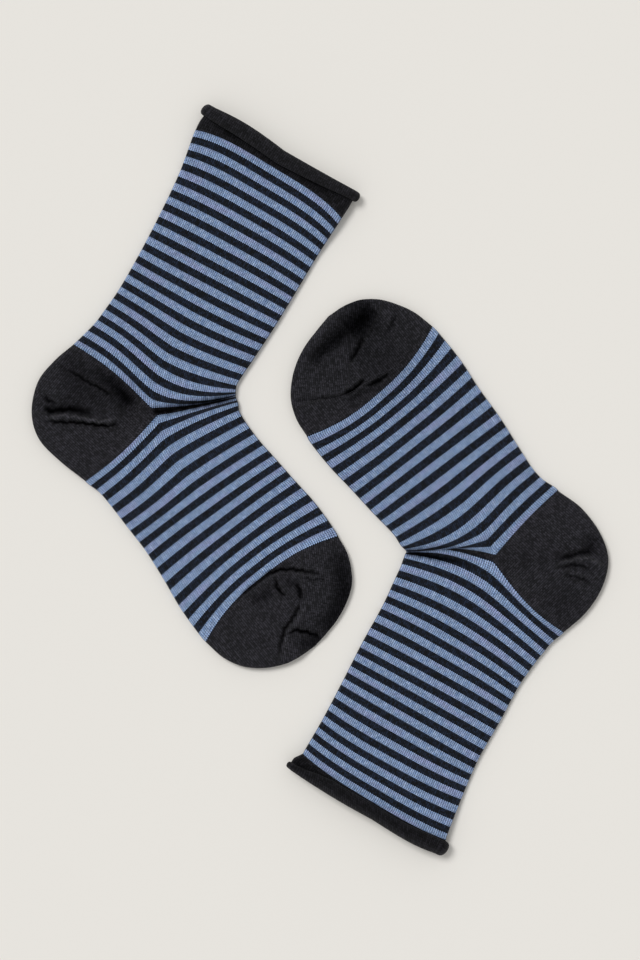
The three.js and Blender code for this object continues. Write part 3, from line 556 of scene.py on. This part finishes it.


# One closed wall from an outer and an inner grid of x, y, z and painted shade, below 0 a
# painted highlight. Closed grids join their last point to their first; uv has one more column
# than a closed grid. A tip closes the last row.
def wallObject(name, sock, outer, inner, uv, closed, tips=None):
    rowCount, colCount = outer.shape[:2]
    verts = np.concatenate([placed(sock, outer).reshape(-1, 3), placed(sock, inner).reshape(-1, 3)])
    steps = colCount if closed else colCount - 1
    i, j = np.meshgrid(np.arange(rowCount - 1), np.arange(steps), indexing="ij")
    i, j = i.ravel(), j.ravel()
    after = (j + 1) % colCount

    def at(row, col, side):
        return side * rowCount * colCount + row * colCount + col

    # Row, column and uv column of each face's corners
    corners = [(i, j, j), (i + 1, j, j), (i + 1, after, j + 1), (i, after, j + 1)]
    outFaces = np.stack([at(r, c, 0) for r, c, _ in corners], axis=1)
    outUv = np.stack([uv[r, u] for r, _, u in corners], axis=1)
    inFaces = np.stack([at(r, c, 1) for r, c, _ in corners], axis=1)[:, ::-1]
    faces, uvs = [outFaces, inFaces], [outUv, outUv[:, ::-1]]
    col = np.arange(steps)
    nextCol = (col + 1) % colCount
    rims = [(0, True)] if tips is not None else [(0, True), (rowCount - 1, False)]
    for row, flip in rims:
        ends = [at(row, col, 0), at(row, nextCol, 0), at(row, nextCol, 1), at(row, col, 1)]
        ring = np.stack(ends, axis=1)
        ringUv = np.stack([uv[row, col], uv[row, col + 1], uv[row, col + 1], uv[row, col]], axis=1)
        faces.append(ring if flip else ring[:, ::-1])
        uvs.append(ringUv if flip else ringUv[:, ::-1])
    if not closed:
        r = np.arange(rowCount - 1)
        for edge, flip in ((0, False), (colCount - 1, True)):
            ends = [at(r, edge, 0), at(r, edge, 1), at(r + 1, edge, 1), at(r + 1, edge, 0)]
            side = np.stack(ends, axis=1)
            sideUv = np.stack([uv[r, edge], uv[r, edge], uv[r + 1, edge], uv[r + 1, edge]], axis=1)
            faces.append(side[:, ::-1] if flip else side)
            uvs.append(sideUv[:, ::-1] if flip else sideUv)
    faceList = np.concatenate(faces).tolist()
    loopUv = np.concatenate(uvs).reshape(-1, 2)
    if tips is not None:
        tipOut = len(verts)
        verts = np.concatenate([verts, placed(sock, np.array(tips, float))])
        end = rowCount - 1
        tipUvs = []
        for c in range(colCount):
            d = (c + 1) % colCount
            faceList.append([int(at(end, c, 0)), tipOut, int(at(end, d, 0))])
            faceList.append([int(at(end, c, 1)), int(at(end, d, 1)), tipOut + 1])
            here, beyond = uv[end, c], uv[end, c + 1]
            tipUvs += [here, (here + beyond) / 2, beyond, here, beyond, (here + beyond) / 2]
        loopUv = np.concatenate([loopUv, tipUvs])
    # Shade painted on the upper side's points, below 0 a painted highlight; the tips have none
    paintedShading = np.zeros(len(verts), np.float32)
    paintedShading[:2 * rowCount * colCount] = np.concatenate([outer[..., 3].ravel(), inner[..., 3].ravel()])
    return clothObject(name, verts, faceList, loopUv, paintedShading)


# Every row is met exactly, with steps of about the same length between rows
def stationsBetween(rowsTable, start, end, step):
    marks = [start] + [row[0] for row in rowsTable if start < row[0] < end] + [end]
    middles = rowsAt(rowsTable, np.array(marks, float))["middle"]
    parts = []
    for i in range(len(marks) - 1):
        steps = max(int(math.dist(middles[i], middles[i + 1]) / step + 0.5), 1)
        parts.append(np.linspace(marks[i], marks[i + 1], steps, endpoint=False))
    return np.append(np.concatenate(parts), end)


def tubeShares(rowsTable, step):
    width = max(math.dist(row[1], row[2]) + math.dist(row[2], row[3]) for row in rowsTable)
    return ringShares(int(width / step), int(width / fine["under"]), lie["foldShare"])


def closedUv(wales, stripes):
    u = np.append(wales, 2 * knit["wales"])
    return np.stack(np.broadcast_arrays(u[None, :], stripes[:, None]), axis=-1)


# The ankle, in stripes: the dark stripe between the leg and the foot is drawn wider towards the
# notch, as the dark yarn tucked into the ankle's fold and as painted shade in that fold, and the
# gusset opens the foot's first dark courses, so they are spread out
ankle = {
    "thick": 5.0,        # mm, both layers and the air between them
    "tuckAndShadeWidening": 0.05,
    "legFrom": 17.0, "footTo": 2.0, "reach": 1.3,
    "frontFade": 0.12,   # of the width, past its middle
    "gussetSpread": 0.3,
}


def tubePiece(sock, part, rowsTable, start, end, liftOf):
    at = stationsBetween(rowsTable, start, end, fine["along"])
    shares = tubeShares(rowsTable, fine["across"])
    outer = tubeGrid(sock, rowsTable, at, shares, 0, liftOf)
    inner = tubeGrid(sock, rowsTable, at, shares, knit["wall"], liftOf)
    uv = closedUv(shares[2], at)
    front = smooth((shares[0] - 0.5) / ankle["frontFade"])
    front = np.append(front, front[0])[None, :]
    # Near the notch the stripes shift so that the dark stripe widens: partly the fold's dark yarn, partly
    # painted shade in the fold
    if part == "leg":
        near = smooth((at[:, None] - ankle["legFrom"]) / ankle["reach"])
        uv[..., 1] += ankle["tuckAndShadeWidening"] * front * near
    if part == "foot":
        near = smooth((ankle["footTo"] - at[:, None]) / ankle["reach"])
        uv[..., 1] -= ankle["tuckAndShadeWidening"] * front * near
        gussetEnd = rowsTable[1][0]
        opened = (gussetEnd - at[:, None]) / (gussetEnd - start)
        uv[..., 1] -= ankle["gussetSpread"] * smooth(opened)
    return wallObject(f"{sock['name']}{part.capitalize()}Knit", sock, outer, inner, uv, True)


def legPiece(sock):
    return tubePiece(sock, "leg", sock["leg"], bandEnd, legEnd, legLift(sock))


def footPiece(sock):
    return tubePiece(sock, "foot", sock["foot"], footStart, footEnd, noLift)


heel = {"rays": 165, "puff": 1.8, "puffRound": 0.7}  # puff: mm more at the pocket's middle


# The heel pocket is a fan of rays from the rim to the gusset, on top and under
def heelPiece(sock):
    gusset = np.array(sock["leg"][-1][2])
    across, high = tubeShares(sock["leg"], fine["pocket"])[:2]
    half = across <= 0.5
    order = np.where(half & (high < 0))[0].tolist() + np.where(half & (high >= 0))[0].tolist()
    a = np.concatenate([[0.5], across[order], [0.5]])
    h = np.concatenate([[-1], high[order], [1]])
    rays = np.linspace(0, 1, heel["rays"])
    rim = curveThrough(np.linspace(0, 1, len(sock["heelRim"])), sock["heelRim"], rays)
    width = 2 * np.linalg.norm(gusset - rim, axis=1)[:, None]

    def grid(depth):
        inset = depth / width
        share = 2 * (inset + (1 - 2 * inset) * a[None, :])
        xy = rim[:, None, :] + (gusset - rim)[:, None, :] * share[..., None]
        # Its two seams bow as the leg's last course and the foot's first one do
        bow = sock["leg"][-1][6] * (1 - rays) ** 3 + sock["foot"][0][6] * rays ** 3
        xy[..., 1] += bow[:, None] * np.sin(np.pi * np.clip(share, 0, 1))
        fromRim = np.cos(np.pi / 2 * np.minimum(share, 1)) ** heel["puffRound"]
        puff = heel["puff"] * np.sin(np.pi * rays)[:, None] * fromRim
        seen = heightAt(sock, xy, a[None, :], h[None, :], ankle["thick"] + puff, 0, depth, width)
        return np.concatenate([xy, seen], axis=-1)

    outer, inner = grid(0), grid(knit["wall"])
    # Above the suture the wales run on from the leg, below it from the foot
    uv = np.zeros(outer.shape[:2] + (2,))
    for rimEnd, rowsHere, sign in ((rim[0], rays <= 0.5, 1), (rim[-1], rays > 0.5, -1)):
        way = (rimEnd - gusset) / np.linalg.norm(rimEnd - gusset)
        out = np.array([way[1], -way[0]]) * sign
        rel = outer[rowsHere][..., :2] - gusset
        wales = rel @ way / knit["waleWidth"]
        stripes = rel @ out / knit["courseHeight"] / knit["coursesPerStripe"]
        uv[rowsHere] = np.stack([wales, stripes], axis=-1)
    return wallObject(f"{sock['name']}HeelKnit", sock, outer, inner, uv, False)


toeCap = {
    "ahead": (0.62, -0.78),  # the way that its courses follow one another before the suture
    "innerShort": 0.03,      # of its length that the inner side is shorter
    "closingRows": 5,        # extra rows bring its end to a round point
}


# The part of the toe cap that lies past its suture, where the wales run another way
def beyondSuture(sock, xy):
    line = np.array(sock["toeSuture"], float)
    order = np.argsort(line[:, 1])
    edge = np.interp(xy[..., 1], line[order, 1], line[order, 0])
    return xy[..., 0] > edge


def toePiece(sock):
    lastRow = sock["toe"][-1]
    last, tipHeight = lastRow[0], lastRow[5] / 2
    at = stationsBetween(sock["toe"], 0, last, fine["pocket"])
    shares = tubeShares(sock["toe"], fine["pocket"])
    outer = tubeGrid(sock, sock["toe"], at, shares, 0, noLift)
    innerAt = at * (1 - toeCap["innerShort"] * at / last)
    inner = tubeGrid(sock, sock["toe"], innerAt, shares, knit["wall"], noLift)
    tip = np.array([*sock["toeEnd"], tipHeight, 0])
    innerEnd = (np.array(sock["toeEnd"]) + np.array(lastRow[2])) / 2
    innerTip = np.array([*innerEnd, tipHeight, 0])
    closing = np.sin(np.linspace(0, math.pi / 2, toeCap["closingRows"] + 2))[1:-1]

    def closed(grid, point):
        end = grid[-1]
        return np.concatenate([grid] + [(end + (point - end) * s)[None] for s in closing])

    outer, inner = closed(outer, tip), closed(inner, innerTip)
    start = np.array(sock["toe"][0][2])
    rel = np.concatenate([outer, outer[:, :1]], axis=1)[..., :2] - start
    past = beyondSuture(sock, rel + start)
    uv = np.zeros(rel.shape)
    for zone, way in ((~past, np.array(toeCap["ahead"])), (past, np.array(sock["toeTurned"]))):
        uv[zone, 0] = rel[zone] @ np.array([-way[1], way[0]]) / knit["waleWidth"]
        uv[zone, 1] = rel[zone] @ way / knit["courseHeight"] / knit["coursesPerStripe"]
    return wallObject(f"{sock['name']}ToeKnit", sock, outer, inner, uv, True, [tip, innerTip])


# The way out of the mouth and the way outwards from the cloth, at each point round the mouth
def mouthWays(sock, shares, lift, middle):
    mouthLift = lift(np.array([0.0]))
    aimAt = np.array([curl["aimFrom"]])
    before = tubeGrid(sock, sock["leg"], aimAt, shares, knit["wall"] / 2, lambda at: mouthLift)
    way = middle - before[0][:, :3]
    way[:, 2] = 0
    way /= np.linalg.norm(way, axis=1)[:, None]
    along = np.roll(middle, -1, axis=0) - np.roll(middle, 1, axis=0)
    along /= np.linalg.norm(along, axis=1)[:, None]
    outward = np.cross(along, way)
    outward /= np.linalg.norm(outward, axis=1)[:, None]
    return way, outward


# The roll is fatter on top than under, and uneven along the mouth
def rollSize(sock, shares):
    sizes = np.array(sock["rollSizes"])
    fromEnd = np.minimum(shares[0], 1 - shares[0])
    atEnds = 1 - smooth((fromEnd - curl["endFlat"]) / curl["endFade"])
    onTop = np.maximum(smooth(shares[1] * 2 + 0.5), atEnds)
    size = 1 + (np.interp(shares[0], sizes[:, 0], sizes[:, 1]) - 1) * onTop
    return (size * sock["curlSize"])[:, None]


# A point of the roll's section, mm out of the mouth and mm up; its outer side stays in place
def curlPoint(sock, size, turn):
    t = math.radians(turn)
    radius = (curl["radius"] - curl["shrink"] * (turn - curl["start"]) / 360) * size
    start = curl["radius"] * size
    grown = smooth((turn - curl["start"]) / curl["growTurn"])
    back = (size - sock["curlSize"]) * curl["radius"] * grown
    return radius * math.cos(t) - back, curl["flatten"] * (start + radius * math.sin(t))


# The shade painted on the band under the roll and on the roll itself
def cuffDark(sock, shares, bandAt, turns):
    shade = np.array(sock["bandShade"])
    nearRoll = smooth((cuffShade["reach"] - bandAt) / cuffShade["reach"])[:, None]
    bandPaintedShade = nearRoll * np.interp(shares[0], shade[:, 0], shade[:, 1])
    rollPaintedShade = sock["rollShade"] * smooth((turns - cuffShade["rollStart"]) / cuffShade["rollSpan"])
    rollPaintedShade = rollPaintedShade[:, None] * np.ones_like(bandPaintedShade[:1])
    return np.concatenate([bandPaintedShade, rollPaintedShade]) * np.maximum(shares[1], 0)


# The dark band, then the roll: the cloth leaves the mouth and turns outwards all round
def cuffPiece(sock):
    shares = tubeShares(sock["leg"], fine["across"])
    lift = legLift(sock)
    bandAt = np.linspace(bandEnd, 0, curl["bandRows"])
    outer = tubeGrid(sock, sock["leg"], bandAt, shares, 0, lift)[..., :3]
    inner = tubeGrid(sock, sock["leg"], bandAt, shares, knit["wall"], lift)[..., :3]
    middle = (outer[-1] + inner[-1]) / 2
    way, outward = mouthWays(sock, shares, lift, middle)
    size = rollSize(sock, shares)
    outRows, inRows = [], []
    turns = np.arange(curl["start"] + curl["step"], curl["end"] + curl["step"], curl["step"])
    for turn in np.minimum(turns, curl["end"]):
        hereRun, hereRise = curlPoint(sock, size, turn)
        nextRun, nextRise = curlPoint(sock, size, turn + 1)
        far = np.hypot(nextRun - hereRun, nextRise - hereRise)
        stepRun, stepRise = (nextRun - hereRun) / far, (nextRise - hereRise) / far
        for rows, offset in ((outRows, knit["wall"] / 2), (inRows, -knit["wall"] / 2)):
            run, rise = hereRun - stepRise * offset, hereRise + stepRun * offset
            p = middle + way * run + outward * rise
            p[:, 2] = np.maximum(p[:, 2], 0)
            rows.append(p)
    # Shade painted on the band and on the roll's upper side
    dark = cuffDark(sock, shares, bandAt, turns)
    outer = np.concatenate([np.concatenate([outer, outRows]), dark[..., None]], axis=-1)[::-1]
    inner = np.concatenate([np.concatenate([inner, inRows]), dark[..., None]], axis=-1)[::-1]
    curlStripes = (turns - curl["start"]) / 360 * curl["stripesATurn"]
    stripes = np.append(bandAt, -curlStripes)[::-1]
    return wallObject(f"{sock['name']}CuffKnit", sock, outer, inner, closedUv(shares[2], stripes), True)


makers = {"cuff": cuffPiece, "leg": legPiece, "heel": heelPiece, "foot": footPiece, "toe": toePiece}
pieces = {}
for sock in (firstSock, secondSock):
    for part, make in makers.items():
        pieces[sock["name"], part] = make(sock)
    print(sock["name"], "knitted")


def linear(code):
    c = [int(code[i:i + 2], 16) / 255 for i in (1, 3, 5)]
    return tuple(v / 12.92 if v <= 0.04045 else ((v + 0.055) / 1.055) ** 2.4 for v in c) + (1,)


# Adds one node: settings for its own fields, then a value or a link for each input, by the
# input's name or, as i0 or i6, by its number
def addNode(tree, kind, settings=None, **inputs):
    node = tree.nodes.new(kind)
    for field, value in (settings or {}).items():
        setattr(node, field, value)
    for field, value in inputs.items():
        socket = node.inputs[int(field[1:]) if field[0] == "i" and field[1:].isdigit() else field]
        if isinstance(value, bpy.types.NodeSocket):
            tree.links.new(value, socket)
        else:
            socket.default_value = value
    return node


def calc(tree, operation, a, b=0.0, c=0.0):
    return addNode(tree, "ShaderNodeMath", {"operation": operation}, i0=a, i1=b, i2=c).outputs[0]


def mixed(tree, share, first, second, blend="MIX"):
    settings = {"data_type": "RGBA", "blend_type": blend}
    return addNode(tree, "ShaderNodeMix", settings, i0=share, i6=first, i7=second).outputs[2]


yarns = {
    "pocketDark": ("#16161a", "#2e2d33"),  # heel and toe: darkest and lightest loop
    "cuffDark": ("#0f0f12", "#222126"),
    "stripeDark": ("#06090f", "#1a2334"),  # the dark stripes look bluer beside the blue
    "blue": "#889fc3", "blueLight": "#a6b9d8", "blueDeep": "#748fbb", "lilac": "#979ac4",
    "blueStops": (0.3, 0.5, 0.72),         # of the fleck noise, from deep to light
    "lilacFrom": 0.5, "lilacFull": 0.75, "lilacShare": 0.55,
    "roughness": 0.95, "sheen": 0.05, "sheenRoughness": 0.5, "shine": 0.2,
}

loops = {
    "lean": 1.1,             # courses that a loop's legs would climb over a whole wale
    "legDepth": 0.6, "waleDepth": 0.8,
    "bump": 0.00022,         # metres, drawn a little deeper than real so that the wales show
    "bumpStrength": 0.9,
    # Shade is painted between two loops and a highlight on their tops, by scaling the yarn's colour with
    # the loops' height
    "furrowFrom": -1.3, "crownAt": 1.1,  # of the loops' height
    "paintedFurrowShade": 0.2, "paintedCrownHighlight": 1.46,        # how bright it is between two loops, and on top
    "variety": 0.2,          # how much one loop's brightness differs from the next
    "wander": 0.5,           # wales that the loops stray from straight lines
    "wanderScale": 0.45, "wanderDetail": 2.0,
    "fleckScale": 0.42,      # the blue yarn's flecks are a few wales long
    "patchWales": 0.06, "patchStripes": 1.7, "patchSeed": 7.3,  # its lilac patches are longer
    "stripeShift": 0.025,    # stripes that the light stripe's middle is moved
}


def noise(tree, at, scale=1.0, detail=1.0):
    node = addNode(tree, "ShaderNodeTexNoise", Vector=at, Scale=scale, Detail=detail)
    return node.outputs["Fac"]


def place(tree, x, y, z=0.0):
    return addNode(tree, "ShaderNodeCombineXYZ", i0=x, i1=y, i2=z).outputs[0]


# The blue varies along the course, a few wales at a time, with slow lilac patches
def blueYarn(tree, wales, stripes, course):
    fleck = noise(tree, place(tree, calc(tree, "MULTIPLY", wales, loops["fleckScale"]), course))
    ramp = addNode(tree, "ShaderNodeValToRGB", i0=fleck)
    stops = ramp.color_ramp.elements
    deepAt, blueAt, lightAt = yarns["blueStops"]
    stops[0].position, stops[0].color = deepAt, linear(yarns["blueDeep"])
    stops[1].position, stops[1].color = lightAt, linear(yarns["blueLight"])
    stops.new(blueAt).color = linear(yarns["blue"])
    slowWales = calc(tree, "MULTIPLY", wales, loops["patchWales"])
    slowStripes = calc(tree, "MULTIPLY", stripes, loops["patchStripes"])
    patch = noise(tree, place(tree, slowWales, slowStripes, loops["patchSeed"]))
    lilac = addNode(tree, "ShaderNodeMapRange", i0=patch, i1=yarns["lilacFrom"], i2=yarns["lilacFull"])
    lilacShare = calc(tree, "MULTIPLY", lilac.outputs[0], yarns["lilacShare"])
    return mixed(tree, lilacShare, ramp.outputs[0], linear(yarns["lilac"]))


# Plain knit (stockinette) of fine yarn: columns of small V loops, matt with a soft nap
def knitMaterial(name, striped, darkYarn):
    material = bpy.data.materials.new(name)
    material.use_nodes = True
    tree = material.node_tree
    tree.nodes.clear()
    uv = addNode(tree, "ShaderNodeUVMap", {"uv_map": "knit"}).outputs["UV"]
    across, stripes = addNode(tree, "ShaderNodeSeparateXYZ", i0=uv).outputs[:2]
    strayNoise = noise(tree, uv, loops["wanderScale"], loops["wanderDetail"])
    stray = calc(tree, "MULTIPLY", calc(tree, "SUBTRACT", strayNoise, 0.5), loops["wander"])
    wales = calc(tree, "MULTIPLY_ADD", across, knit["drawnWales"], stray)
    drawnCourses = round(knit["coursesPerStripe"] * knit["drawnCourses"])
    courses = calc(tree, "MULTIPLY", stripes, drawnCourses)
    fromWale = calc(tree, "ABSOLUTE", calc(tree, "SUBTRACT", calc(tree, "FRACT", wales), 0.5))
    # Each loop's two legs lean towards the wale's middle, so a course is a row of small V
    leaning = calc(tree, "MULTIPLY_ADD", fromWale, loops["lean"], courses)
    loopWave = calc(tree, "SINE", calc(tree, "MULTIPLY", leaning, 2 * math.pi))
    waleRound = calc(tree, "COSINE", calc(tree, "MULTIPLY", fromWale, 2 * math.pi))
    waleHeight = calc(tree, "MULTIPLY", waleRound, loops["waleDepth"])
    height = calc(tree, "MULTIPLY_ADD", loopWave, loops["legDepth"], waleHeight)
    course = calc(tree, "FLOOR", leaning)
    loop = place(tree, calc(tree, "FLOOR", wales), course)
    white = addNode(tree, "ShaderNodeTexWhiteNoise", {"noise_dimensions": "2D"}, Vector=loop)
    chance = white.outputs["Value"]
    colour = mixed(tree, chance, linear(darkYarn[0]), linear(darkYarn[1]))
    if striped:
        # The courses that the gusset spreads out are knitted in the heel's yarn
        pocket = mixed(tree, chance, linear(yarns["pocketDark"][0]), linear(yarns["pocketDark"][1]))
        colour = mixed(tree, calc(tree, "LESS_THAN", stripes, footStart), colour, pocket)
        blue = blueYarn(tree, wales, stripes, course)
        # The yarn changes on a course line, so the stripe's edge steps with the loops
        stepped = calc(tree, "DIVIDE", leaning, drawnCourses)
        shifted = calc(tree, "FRACT", calc(tree, "ADD", stepped, 0.5 - loops["stripeShift"]))
        fromLight = calc(tree, "ABSOLUTE", calc(tree, "SUBTRACT", shifted, 0.5))
        light = calc(tree, "LESS_THAN", fromLight, knit["lightShare"] / 2)
        colour = mixed(tree, light, colour, blue)
    # Shade is painted in the groove between two wales and a highlight on each loop's top
    paintedFurrowShade = addNode(tree, "ShaderNodeMapRange", i0=height, i1=loops["furrowFrom"], i2=loops["crownAt"],
                     i3=loops["paintedFurrowShade"], i4=loops["paintedCrownHighlight"]).outputs[0]
    variety = addNode(tree, "ShaderNodeMapRange", i0=chance, i3=1 - loops["variety"],
                      i4=1 + loops["variety"]).outputs[0]
    # Shade painted on the yarn in creases and under the roll, and a painted highlight on ridges, read from
    # the cloth's attribute
    paintedShading = addNode(tree, "ShaderNodeAttribute", {"attribute_name": "paintedShading"}).outputs["Fac"]
    clear = calc(tree, "SUBTRACT", 1.0, paintedShading)
    tone = calc(tree, "MULTIPLY", calc(tree, "MULTIPLY", paintedFurrowShade, variety), clear)
    shade = mixed(tree, 1.0, colour, tone, "MULTIPLY")
    bump = addNode(tree, "ShaderNodeBump", Strength=loops["bumpStrength"], Distance=loops["bump"],
                   Height=height)
    shader = addNode(tree, "ShaderNodeBsdfPrincipled", Normal=bump.outputs[0], Roughness=yarns["roughness"])
    tree.links.new(shade, shader.inputs["Base Color"])
    # The painted shade dims the sheen and shine as well, and a painted highlight raises them
    tree.links.new(calc(tree, "MULTIPLY", clear, yarns["sheen"]), shader.inputs["Sheen Weight"])
    tree.links.new(calc(tree, "MULTIPLY", clear, yarns["shine"]), shader.inputs["Specular IOR Level"])
    shader.inputs["Sheen Roughness"].default_value = yarns["sheenRoughness"]
    addNode(tree, "ShaderNodeOutputMaterial", i0=shader.outputs[0])
    return material


# Plain colour, for the linking yarn and the board
def plainMaterial(name, colour, roughness):
    material = bpy.data.materials.new(name)
    material.use_nodes = True
    shader = material.node_tree.nodes["Principled BSDF"]
    shader.inputs["Base Color"].default_value = linear(colour)
    shader.inputs["Roughness"].default_value = roughness
    return material


# The cap is closed by linking loop to loop: a row of small dark loops along the seam
linking = {
    "spacing": 1.3, "length": 1.05, "thickness": 0.42,  # mm
    "variety": 0.15, "seed": 5,
    "samples": 120, "dropFrom": 50.0,  # points of its route, and mm above the floor that they start
    "segments": 8, "rings": 5,
    "yarn": "#232227",
}


def linkingTree():
    tree = bpy.data.node_groups.new("linking loops", "GeometryNodeTree")
    sockets = [
        ("Seam", "NodeSocketGeometry", None),
        ("Spacing", "NodeSocketFloat", linking["spacing"] * mm),
        ("Length", "NodeSocketFloat", linking["length"] * mm),
        ("Thickness", "NodeSocketFloat", linking["thickness"] * mm),
        ("Variety", "NodeSocketFloat", linking["variety"]),
        ("Seed", "NodeSocketInt", linking["seed"]),
        ("Yarn", "NodeSocketMaterial", None),
    ]
    for label, kind, value in sockets:
        socket = tree.interface.new_socket(label, in_out="INPUT", socket_type=kind)
        if value is not None:
            socket.default_value = value
    tree.interface.new_socket("Loops", in_out="OUTPUT", socket_type="NodeSocketGeometry")
    given = addNode(tree, "NodeGroupInput").outputs
    seam = addNode(tree, "GeometryNodeMeshToCurve", Mesh=given["Seam"])
    points = addNode(tree, "GeometryNodeCurveToPoints", {"mode": "LENGTH"}, Curve=seam.outputs[0],
                     Length=given["Spacing"]).outputs
    loop = addNode(tree, "GeometryNodeMeshUVSphere", Segments=linking["segments"],
                   Rings=linking["rings"], Radius=0.5)
    least = calc(tree, "SUBTRACT", 1.0, given["Variety"])
    most = calc(tree, "ADD", 1.0, given["Variety"])
    chance = addNode(tree, "FunctionNodeRandomValue", {"data_type": "FLOAT"}, i2=least, i3=most,
                     Seed=given["Seed"]).outputs[1]
    long = calc(tree, "MULTIPLY", given["Length"], chance)
    size = addNode(tree, "ShaderNodeCombineXYZ", i0=given["Thickness"], i1=given["Thickness"], i2=long)
    row = addNode(tree, "GeometryNodeInstanceOnPoints", Points=points["Points"],
                  Instance=loop.outputs["Mesh"], Rotation=points["Rotation"], Scale=size.outputs[0])
    real = addNode(tree, "GeometryNodeRealizeInstances", Geometry=row.outputs[0])
    even = addNode(tree, "GeometryNodeSetShadeSmooth", i0=real.outputs[0])
    done = addNode(tree, "GeometryNodeSetMaterial", Geometry=even.outputs[0], Material=given["Yarn"])
    addNode(tree, "NodeGroupOutput", Loops=done.outputs[0])
    return tree


# The seam's route is laid on the cap from above, and the loops are made along it
def linkingPiece(sock, toe, tree, yarn):
    polygons = [list(face.vertices) for face in toe.data.polygons]
    tops = BVHTree.FromPolygons([v.co.copy() for v in toe.data.vertices], polygons)
    route = np.array(sock["toeLink"], float)
    samples = np.linspace(0, len(route) - 1, linking["samples"])
    run = curveThrough(np.arange(len(route)), route, samples)
    above = placed(sock, np.column_stack([run, np.full(len(run), linking["dropFrom"])]))
    found = [tops.ray_cast(Vector(p), Vector((0, 0, -1)))[0] for p in above]
    found = [p for p in found if p is not None]
    line = bpy.data.meshes.new("seam")
    line.from_pydata(found, [(i, i + 1) for i in range(len(found) - 1)], [])
    seam = addObject("seam", line)
    modifier = seam.modifiers.new("loops", "NODES")
    modifier.node_group = tree
    given = {item.name: item.identifier for item in tree.interface.items_tree if item.in_out == "INPUT"}
    modifier[given["Yarn"]] = yarn
    modifier[given["Seed"]] = linking["seed"]
    evaluated = seam.evaluated_get(bpy.context.evaluated_depsgraph_get())
    row = bpy.data.meshes.new_from_object(evaluated)
    bpy.data.objects.remove(seam)
    bpy.data.meshes.remove(line)
    row.name = f"{sock['name']}ToeLinking"
    return addObject(row.name, row)


def reportPiece(piece):
    triangles = sum(len(face.vertices) - 2 for face in piece.data.polygons)
    print(piece.name, triangles, "triangles")


linkYarn = plainMaterial("dark linking yarn, wool blend", linking["yarn"], yarns["roughness"])
loopsTree = linkingTree()
links = {}
for sock in (firstSock, secondSock):
    links[sock["name"]] = linkingPiece(sock, pieces[sock["name"], "toe"], loopsTree, linkYarn)
    reportPiece(links[sock["name"]])

stripedKnit = knitMaterial("striped fine plain knit, wool blend", True, yarns["stripeDark"])
darkKnit = knitMaterial("dark fine plain knit, wool blend", False, yarns["pocketDark"])
rollKnit = knitMaterial("dark fine plain knit, rolled, wool blend", False, yarns["cuffDark"])

for (sockName, part), piece in pieces.items():
    reportPiece(piece)
    striped = part in ("leg", "foot")
    piece.data.materials.append(stripedKnit if striped else rollKnit if part == "cuff" else darkKnit)
    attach(piece, "root")
    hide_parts(f"{sockName}_{part}")
    sewn = [links[sockName]] if part == "toe" else []
    for link in sewn:
        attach(link, "root")

# Stage: a plain pale floor, soft light from the upper left, a camera straight above
stage = {
    "floor": "#e6e3dd", "floorRoughness": 0.95, "floorHalf": 3.0, "floorDrop": 0.0001,
    "pictureHeight": 0.5088, "cameraHeight": 1.7, "sensor": 36, "clipEnd": 10,
    "keyStrength": 1.7, "keySoftness": 24, "keyPlace": (-0.78, 0.78, 1.7), "world": 0.55,
}
reach = stage["floorHalf"]
corners = [(-reach, -reach, 0), (reach, -reach, 0), (reach, reach, 0), (-reach, reach, 0)]
board = bpy.data.meshes.new("floor")
board.from_pydata(corners, [], [(0, 1, 2, 3)])
board.materials.append(plainMaterial("matt pale board", stage["floor"], stage["floorRoughness"]))
floor = addObject("floor", board)
floor.location.z = -stage["floorDrop"]

world = bpy.data.worlds.new("studio")
bpy.context.scene.world = world
world.use_nodes = True
world.node_tree.nodes["Background"].inputs["Color"].default_value = (1, 1, 1, 1)
world.node_tree.nodes["Background"].inputs["Strength"].default_value = stage["world"]

# The sun lamp stands for a large soft box far away, so the floor is lit evenly
keyLight = bpy.data.lights.new("key", "SUN")
keyLight.energy = stage["keyStrength"]
keyLight.angle = math.radians(stage["keySoftness"])
key = addObject("key", keyLight)
key.location = stage["keyPlace"]
key.rotation_euler = (-Vector(stage["keyPlace"])).to_track_quat("-Z", "Y").to_euler()

cameraData = bpy.data.cameras.new("camera")
cameraData.sensor_width = stage["sensor"]
cameraData.lens = stage["sensor"] * stage["cameraHeight"] / stage["pictureHeight"]
cameraData.clip_end = stage["clipEnd"]
camera = addObject("camera", cameraData)
camera.location = (0, 0, stage["cameraHeight"])
bpy.context.scene.camera = camera
bpy.context.scene.view_settings.view_transform = "Standard"
print("stage set")
